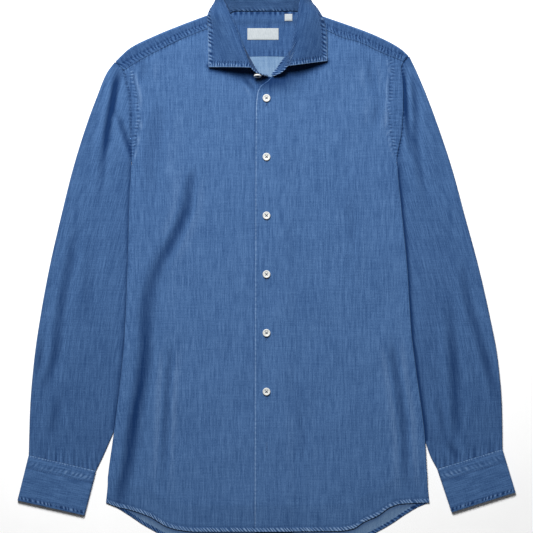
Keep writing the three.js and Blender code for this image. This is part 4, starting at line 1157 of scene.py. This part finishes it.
def plain_finish(name, low, high, roughness, scale, bump_size, specular=0.4):
    """A finish whose colour and height vary softly with place, for buttons, thread and labels"""
    material = bpy.data.materials.new(name)
    material.use_nodes = True
    tree = material.node_tree
    finish = tree.nodes["Principled BSDF"]
    place = tree.nodes.new("ShaderNodeTexCoord")
    cloud = stretched_noise(tree, place.outputs["Object"], scale, 3, 4.4)
    share = ranged(tree, cloud, 0.35, 0.65)
    tree.links.new(mixed(tree, share, low, high), finish.inputs["Base Color"])
    rough = ranged(tree, cloud, 0.3, 0.7, roughness + 0.06, roughness - 0.06)
    tree.links.new(rough, finish.inputs["Roughness"])
    bump = tree.nodes.new("ShaderNodeBump")
    bump.inputs["Strength"].default_value = 0.4
    bump.inputs["Distance"].default_value = bump_size
    tree.links.new(cloud, bump.inputs["Height"])
    tree.links.new(bump.outputs["Normal"], finish.inputs["Normal"])
    finish.inputs["Specular IOR Level"].default_value = specular
    return material


groups = {"weave": weave_group(), "puckering": puckering_group(), "rubbing_and_shade": rubbing_group()}
materials = {
    "denim_outside": denim("denim_outside", shade=linear(49, 79, 122), light=linear(74, 107, 151),
                           worn=linear(134, 161, 195), deep=linear(6, 36, 78)),
    "denim_inside": denim("denim_inside", shade=linear(92, 120, 152), light=linear(115, 141, 169),
                          worn=linear(150, 172, 196), deep=linear(52, 76, 112)),
    "button": plain_finish("button_finish", linear(200, 201, 197), linear(218, 219, 216), roughness=0.35,
                           scale=(300, 300), bump_size=0.00005),
    "label": plain_finish("label_finish", linear(158, 165, 169), linear(174, 180, 183), roughness=0.8,
                          scale=(1500, 300), bump_size=0.0001, specular=0.15),
    "button_thread": plain_finish("button_thread_finish", linear(38, 48, 70), linear(62, 74, 98),
                                  roughness=0.7, scale=(900, 900), bump_size=0.0001, specular=0.2),
    "thread": plain_finish("thread_finish", linear(50, 80, 126), linear(96, 130, 176), roughness=0.7,
                           scale=(900, 900), bump_size=0.0001, specular=0.2),
}


def only(piece):
    """Selects one object and nothing else."""
    bpy.ops.object.select_all(action="DESELECT")
    piece.select_set(True)
    bpy.context.view_layer.objects.active = piece


def pick_faces(piece, test):
    """In edit mode, selects the faces whose middle and normal pass a test."""
    bpy.ops.mesh.select_mode(type="FACE")
    bpy.ops.mesh.select_all(action="DESELECT")
    bpy.ops.object.mode_set(mode="OBJECT")
    for face in piece.data.polygons:
        face.select = test(face.center, face.normal)
    bpy.ops.object.mode_set(mode="EDIT")


BUTTON_NAMES = [*(f"button_{number}" for number in range(1, 7)), "button_stand"]
BUTTON_RADIUS = 0.00575
BUTTON_HIGH = 0.0026
HOLE_RADIUS = 0.00075
HOLE_OFFSET = 0.00135
STAND_BUTTON_TILT = 75
STAND_BUTTON_PLACE = (-0.0132, 0.2907 + DRAWING_ZERO_Y * MM, 0.0152)


def carved_button():
    """A four-hole button with a rounded rim, its back on z = 0"""
    bpy.ops.object.select_all(action="DESELECT")
    bpy.ops.mesh.primitive_cylinder_add(vertices=40, radius=BUTTON_RADIUS, depth=BUTTON_HIGH,
                                        location=(0, 0, BUTTON_HIGH / 2))
    button = bpy.context.object
    bpy.ops.object.transform_apply(location=True, rotation=True, scale=True)
    bpy.ops.object.mode_set(mode="EDIT")
    pick_faces(button, lambda middle, normal: abs(normal.z) > 0.9)
    bpy.ops.mesh.bevel(offset=0.0007, segments=4, affect="EDGES")
    pick_faces(button, lambda middle, normal: normal.z > 0.99 and middle.z > BUTTON_HIGH * 0.9)
    bpy.ops.mesh.inset(thickness=0.0006)
    bpy.ops.mesh.inset(thickness=0.0005)
    bpy.ops.transform.translate(value=(0, 0, -0.0006))
    bpy.ops.mesh.inset(thickness=0.0006)
    bpy.ops.transform.translate(value=(0, 0, -0.0002))
    bpy.ops.object.mode_set(mode="OBJECT")
    drills = []
    for x, y in ((-1, -1), (1, -1), (1, 1), (-1, 1)):
        bpy.ops.mesh.primitive_cylinder_add(vertices=16, radius=HOLE_RADIUS, depth=0.01,
                                            location=(x * HOLE_OFFSET, y * HOLE_OFFSET, 0))
        drills.append(bpy.context.object)
    bpy.ops.object.select_all(action="DESELECT")
    for drill in drills:
        drill.select_set(True)
    bpy.context.view_layer.objects.active = drills[0]
    bpy.ops.object.join()
    drill = bpy.context.object
    only(button)
    cut = button.modifiers.new("holes", "BOOLEAN")
    cut.operation = "DIFFERENCE"
    cut.object = drill
    bpy.ops.object.modifier_apply(modifier=cut.name)
    bpy.data.objects.remove(drill)
    bpy.ops.object.shade_smooth_by_angle(angle=math.radians(35))
    button.data.materials.clear()
    button.data.materials.append(materials["button"])
    return button


def button_seat(name):
    """How a button is tilted, and where the middle of its back is"""
    if name == "button_stand":
        return Matrix.Rotation(math.radians(STAND_BUTTON_TILT), 4, "X"), Vector(STAND_BUTTON_PLACE)
    low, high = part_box(name)
    return Matrix.Identity(4), Vector(((low.x + high.x) / 2, (low.y + high.y) / 2, low.z))


def buttons():
    first = carved_button()
    copies = []
    for name in BUTTON_NAMES[1:]:
        button = first.copy()
        button.data = first.data.copy()
        bpy.context.scene.collection.objects.link(button)
        copies.append(button)
    for name, button in zip(BUTTON_NAMES, [first, *copies]):
        button.name = "shirt_" + name
        tilt, foot = button_seat(name)
        button.data.transform(tilt)
        button.data.transform(Matrix.Translation(foot))
        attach(button, "root")
        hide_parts(name)


def flat_patch(name, centre, size, base, thickness, slot):
    """A small sewn-on piece with soft edges, a little proud of what it lies on"""
    across = spaced(size[0], 1.2, (0.2, 0.5), (0.2, 0.5)) - 0.5
    down = 0.5 - spaced(size[1], 1.0, (0.2, 0.5), (0.2, 0.5))
    u, v = np.meshgrid(across * size[0], down * size[1])
    x, y = centre[0] + u, centre[1] + v
    low = base(x, y)
    off_edge = np.minimum(size[0] / 2 - np.abs(u), size[1] / 2 - np.abs(v))
    hump = 0.25 * np.sin(np.pi * (u / size[0] + 0.5)) * smoothstep(off_edge, 0, 2)
    low = low + hump
    soft_edge = 0.4 + 0.6 * smoothstep(off_edge, 0, 0.5)
    upper = low + thickness * soft_edge - 0.12 * bell(off_edge, 1.4, 0.5)
    grain = np.stack([x, y], -1)
    return panel(name, x, y, upper, low, grain, 0 * x, slots=(slot, slot))


def add_rod(corners, faces, rings):
    """Adds a closed rod through rings of corners, all of one count."""
    first, sides = len(corners), len(rings[0])
    for ring in rings:
        corners.extend(ring)
    for ring in range(len(rings) - 1):
        for side in range(sides):
            a, b = first + ring * sides + side, first + ring * sides + (side + 1) % sides
            faces.append((a, b, b + sides, a + sides))
    faces.append(tuple(first + side for side in reversed(range(sides))))
    faces.append(tuple(first + (len(rings) - 1) * sides + side for side in range(sides)))


def thread_piece(name, corners, faces, material):
    mesh = bpy.data.meshes.new(name)
    mesh.from_pydata([tuple(corner) for corner in corners], [], faces)
    mesh.materials.append(materials[material])
    mesh.polygons.foreach_set("use_smooth", np.ones(len(faces), bool))
    mesh.update()
    piece = bpy.data.objects.new(name, mesh)
    bpy.context.scene.collection.objects.link(piece)
    outward = bmesh.new()
    outward.from_mesh(mesh)
    bmesh.ops.recalc_face_normals(outward, faces=outward.faces)
    outward.to_mesh(mesh)
    outward.free()
    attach(piece, "root")
    return piece


def round_about(aside, up, girth):
    """Corners of one ring of thread, from its middle"""
    turns = [2 * math.pi * side / THREAD_SIDES for side in range(THREAD_SIDES)]
    return [(aside * math.cos(turn) + up * math.sin(turn)) * girth for turn in turns]


# Along a stitch: where a ring is, as a share of its length, and how thick it is there
STITCH_RINGS = ((-0.5, 0.35), (-0.36, 0.9), (0, 1), (0.36, 0.9), (0.5, 0.35))


def thread_bits(name, lines, target, pitch=STITCH_PITCH, length=STITCH_LENGTH, radius=STITCH_RADIUS):
    """Short lengths of thread, one after another along lines on a piece's upper side, all in one mesh"""
    tree = BVHTree.FromPolygons([tuple(v.co) for v in target.data.vertices],
                                [tuple(face.vertices) for face in target.data.polygons])
    corners, faces = [], []

    def seat(x, y):
        hit = tree.ray_cast(Vector((x * MM, (y + DRAWING_ZERO_Y) * MM, 0.05)), Vector((0, 0, -1)))
        return hit[0], hit[1]

    for line in lines:
        line = np.array(line, float)
        steps = np.concatenate([[0], np.cumsum(np.hypot(*np.diff(line, axis=0).T))])
        for middle in np.arange(pitch / 2, steps[-1], pitch):
            spots = []
            for place in (middle - length / 2, middle, middle + length / 2):
                x, y = (float(np.interp(place, steps, line[:, i])) for i in (0, 1))
                spots.append(seat(x, y))
            if any(spot[0] is None for spot in spots):
                continue
            run = spots[2][0] - spots[0][0]
            if run.length > 2 * length * MM:
                continue
            run.normalize()
            up = spots[1][1] if spots[1][1].z > 0 else -spots[1][1]
            aside = run.cross(up).normalized()
            up = aside.cross(run).normalized()
            centre = (spots[0][0] + spots[2][0]) / 4 + spots[1][0] / 2 + up * THREAD_LIFT * MM
            rings = []
            for share, girth in STITCH_RINGS:
                middle_here = centre + run * share * length * MM - up * abs(share) * 0.3 * radius * MM
                rings.append([middle_here + out for out in round_about(aside, up, radius * girth * MM)])
            add_rod(corners, faces, rings)
    return thread_piece(name, corners, faces, "thread")


def beside_line(points, away):
    """A line moved sideways to its left"""
    points = np.array(points, float)
    run = np.gradient(points, axis=0)
    run /= np.linalg.norm(run, axis=1, keepdims=True)
    return points + np.column_stack([-run[:, 1], run[:, 0]]) * away


def stitching(made):
    """The rows of sewing thread that show on the upper side"""
    body_x = np.linspace(-236, 240, 300)
    hem = np.column_stack([body_x, front_hem(body_x) + HEM_BAND - 0.5])
    right_part = hem[hem[:, 0] < over_edge(-380.0)]
    left_part = hem[hem[:, 0] > over_edge(-380.0) + 1]
    for side, top, stitch, hem_part, ends in (
            ("right", right_top, RIGHT_ARMHOLE_STITCH, right_part, (-211, -92)),
            ("left", left_top, LEFT_ARMHOLE_STITCH, left_part, (90, 203))):
        front = made["front_" + side]
        x = np.linspace(*ends, 60)
        seam = np.column_stack([x, top(x)])
        thread_bits(f"shirt_front_{side}_thread", [catmull_rom(stitch, 6), hem_part], front)
        rows = [beside_line(seam, 1.6), beside_line(seam, 7.0)]
        thread_bits(f"shirt_yoke_{side}_thread", rows, made["yoke"])
    for side, corners in (("right", RIGHT_CUFF), ("left", LEFT_CUFF)):
        top_outer, end_outer, top_inner, end_inner = (np.array(corner, float) for corner in corners)
        length = np.linalg.norm(end_outer - top_outer)
        rows = []
        for down in (2.4, 18.7, length - 5.2):
            share = down / length
            first = top_outer + (end_outer - top_outer) * share
            last = top_inner + (end_inner - top_inner) * share
            rows.append([first + (last - first) * 0.02, first + (last - first) * 0.98])
        thread_bits(f"shirt_cuff_{side}_thread", rows, made["cuff_" + side])
    right_edge = [(-78, 389), (-80, 382), (-80.4, 362), (-80, 334), (-79.8, 310.2), (-74, 309.4), (-26, 308)]
    left_edge = [(73, 389), (75.4, 381), (82, 357), (83.2, 334), (83.6, 318), (76, 316.4), (34, 310.6)]
    thread_bits("shirt_collar_thread", [right_edge, left_edge], made["collar_leaf"], pitch=2.9, length=2.1)


def buttonhole(made):
    """Close satin stitches round each buttonhole of the wearer's left front"""
    rows = []
    for middle in BUTTONHOLE_ROWS:
        for aside in (-0.75, 0.75):
            steps = np.arange(-BUTTONHOLE_HALF, BUTTONHOLE_HALF + 0.1, SATIN_STEP)
            rows += [[(aside - 0.55, middle + up), (aside + 0.55, middle + up)] for up in steps]
    thread_bits("shirt_buttonhole_thread", rows, made["front_left"], pitch=1.1, length=1.1, radius=0.26)


# One loop of button thread, as across and up from the button's middle
THREAD_BEND = [(-1.91, -1.2), (-1.91, 0.1), (-1.6, 0.42), (-0.8, 0.56), (0, 0.6),
               (0.8, 0.56), (1.6, 0.42), (1.91, 0.1), (1.91, -1.2)]
THREAD_BASE = 1.75
THREAD_GIRTH = 0.24


def button_thread():
    """Crossed thread that holds each button, seen in its holes"""
    for name in BUTTON_NAMES:
        tilt, foot = button_seat(name)
        corners, faces = [], []
        for turn in (45, 135):
            cross = Matrix.Rotation(math.radians(turn), 4, "Z")
            for aside in (-0.2, 0.2):
                rings = []
                for across, up in THREAD_BEND:
                    lifted = 0.1 if turn > 90 and across == 0 else 0
                    middle = Vector((across, aside, THREAD_BASE + up + lifted))
                    ring = round_about(Vector((0, 1, 0)), Vector((0, 0, 1)), THREAD_GIRTH)
                    rings.append([tilt @ (cross @ (middle + out)) * MM + foot for out in ring])
                add_rod(corners, faces, rings)
        thread_piece("shirt_" + name + "_thread", corners, faces, "button_thread")


def sleeve_right():
    return sleeve("shirt_sleeve_right", RIGHT_SLEEVE_OUTER, RIGHT_SLEEVE_FREE, right_side, -1,
                  RIGHT_SLEEVE_FOLDS, 81)


def sleeve_left():
    return sleeve("shirt_sleeve_left", LEFT_SLEEVE_OUTER, LEFT_SLEEVE_FREE, left_side, 1,
                  LEFT_SLEEVE_FOLDS, 91)


def cuff_right():
    return cuff("shirt_cuff_right", RIGHT_CUFF, 101)


def cuff_left():
    return cuff("shirt_cuff_left", LEFT_CUFF, 111)


def neck_label():
    def yoke_inside(x, y):
        return 1.45 + 0 * x
    return flat_patch("shirt_neck_label", (-5.3, 353.6), (46.8, 17.4), yoke_inside, 0.5, "label")


def size_tab():
    def yoke_inside(x, y):
        return leaf_rise(x, y) + 1.5
    return flat_patch("shirt_size_tab", (33, 378.2), (11.5, 10.5), yoke_inside, 0.5, "label")


# Each piece of cloth: slot, width and length as cut in metres, and its area where it is no rectangle
SHEETS = [
    (back, "denim_inside", 0.49, 0.745, 0.308),
    (yoke, "denim", 0.456, 0.125, 0.0338),
    (front_right, "denim", 0.26, 0.765, 0.1673),
    (front_left, "denim", 0.262, 0.764, 0.1675),
    (sleeve_right, "denim", 0.3, 0.62, 0.1253),
    (sleeve_left, "denim", 0.3, 0.62, 0.1137),
    (cuff_right, "denim", 0.215, 0.07, None),
    (cuff_left, "denim", 0.212, 0.069, None),
    (collar_stand, "denim", 0.41, 0.028, 0.0093),
    (collar_leaf, "denim", 0.46, 0.064, 0.0188),
    (neck_label, "label", 0.0468, 0.0174, None),
    (size_tab, "label", 0.0115, 0.0105, None),
]

cloth = {make.__name__: make() for make, *_ in SHEETS}
for make, slot, width, length, area in SHEETS:
    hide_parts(make.__name__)
buttons()
stitching(cloth)
buttonhole(cloth)
button_thread()

# Floor, lights and the camera straight above
bpy.ops.mesh.primitive_plane_add(size=8, location=(0, 0, -0.0004))
floor = bpy.context.object
floor.name = "floor"
floor.data.materials.append(plain_finish("floor_finish", linear(250, 250, 250), linear(253, 253, 253),
                                         roughness=0.8, scale=(9, 9), bump_size=0.00002, specular=0.1))

world = bpy.data.worlds.new("studio")
bpy.context.scene.world = world
world.use_nodes = True
surroundings = world.node_tree.nodes["Background"]
surroundings.inputs["Color"].default_value = (1, 1, 1, 1)
surroundings.inputs["Strength"].default_value = 0.05


def soft_light(name, size, place, power):
    lamp = bpy.data.lights.new(name, "AREA")
    lamp.shape = "SQUARE"
    lamp.size = size
    lamp.energy = power
    holder = bpy.data.objects.new(name, lamp)
    holder.location = place
    holder.rotation_euler = (-Vector(place)).to_track_quat("-Z", "Y").to_euler()
    bpy.context.scene.collection.objects.link(holder)


soft_light("key", 0.8, (-0.3, 1.3, 1.8), 78)
soft_light("fill", 1.6, (0.5, 0.2, 2.6), 4)

VIEW_WIDTH = 0.7995
VIEW_HIGH = 3.0
camera_data = bpy.data.cameras.new("above")
camera_data.sensor_width = 36
camera_data.lens = 36 * VIEW_HIGH / VIEW_WIDTH
camera = bpy.data.objects.new("above", camera_data)
camera.location = (0, 0.0033, VIEW_HIGH + 0.005)
bpy.context.scene.collection.objects.link(camera)
bpy.context.scene.camera = camera
bpy.context.scene.view_settings.view_transform = "Standard"
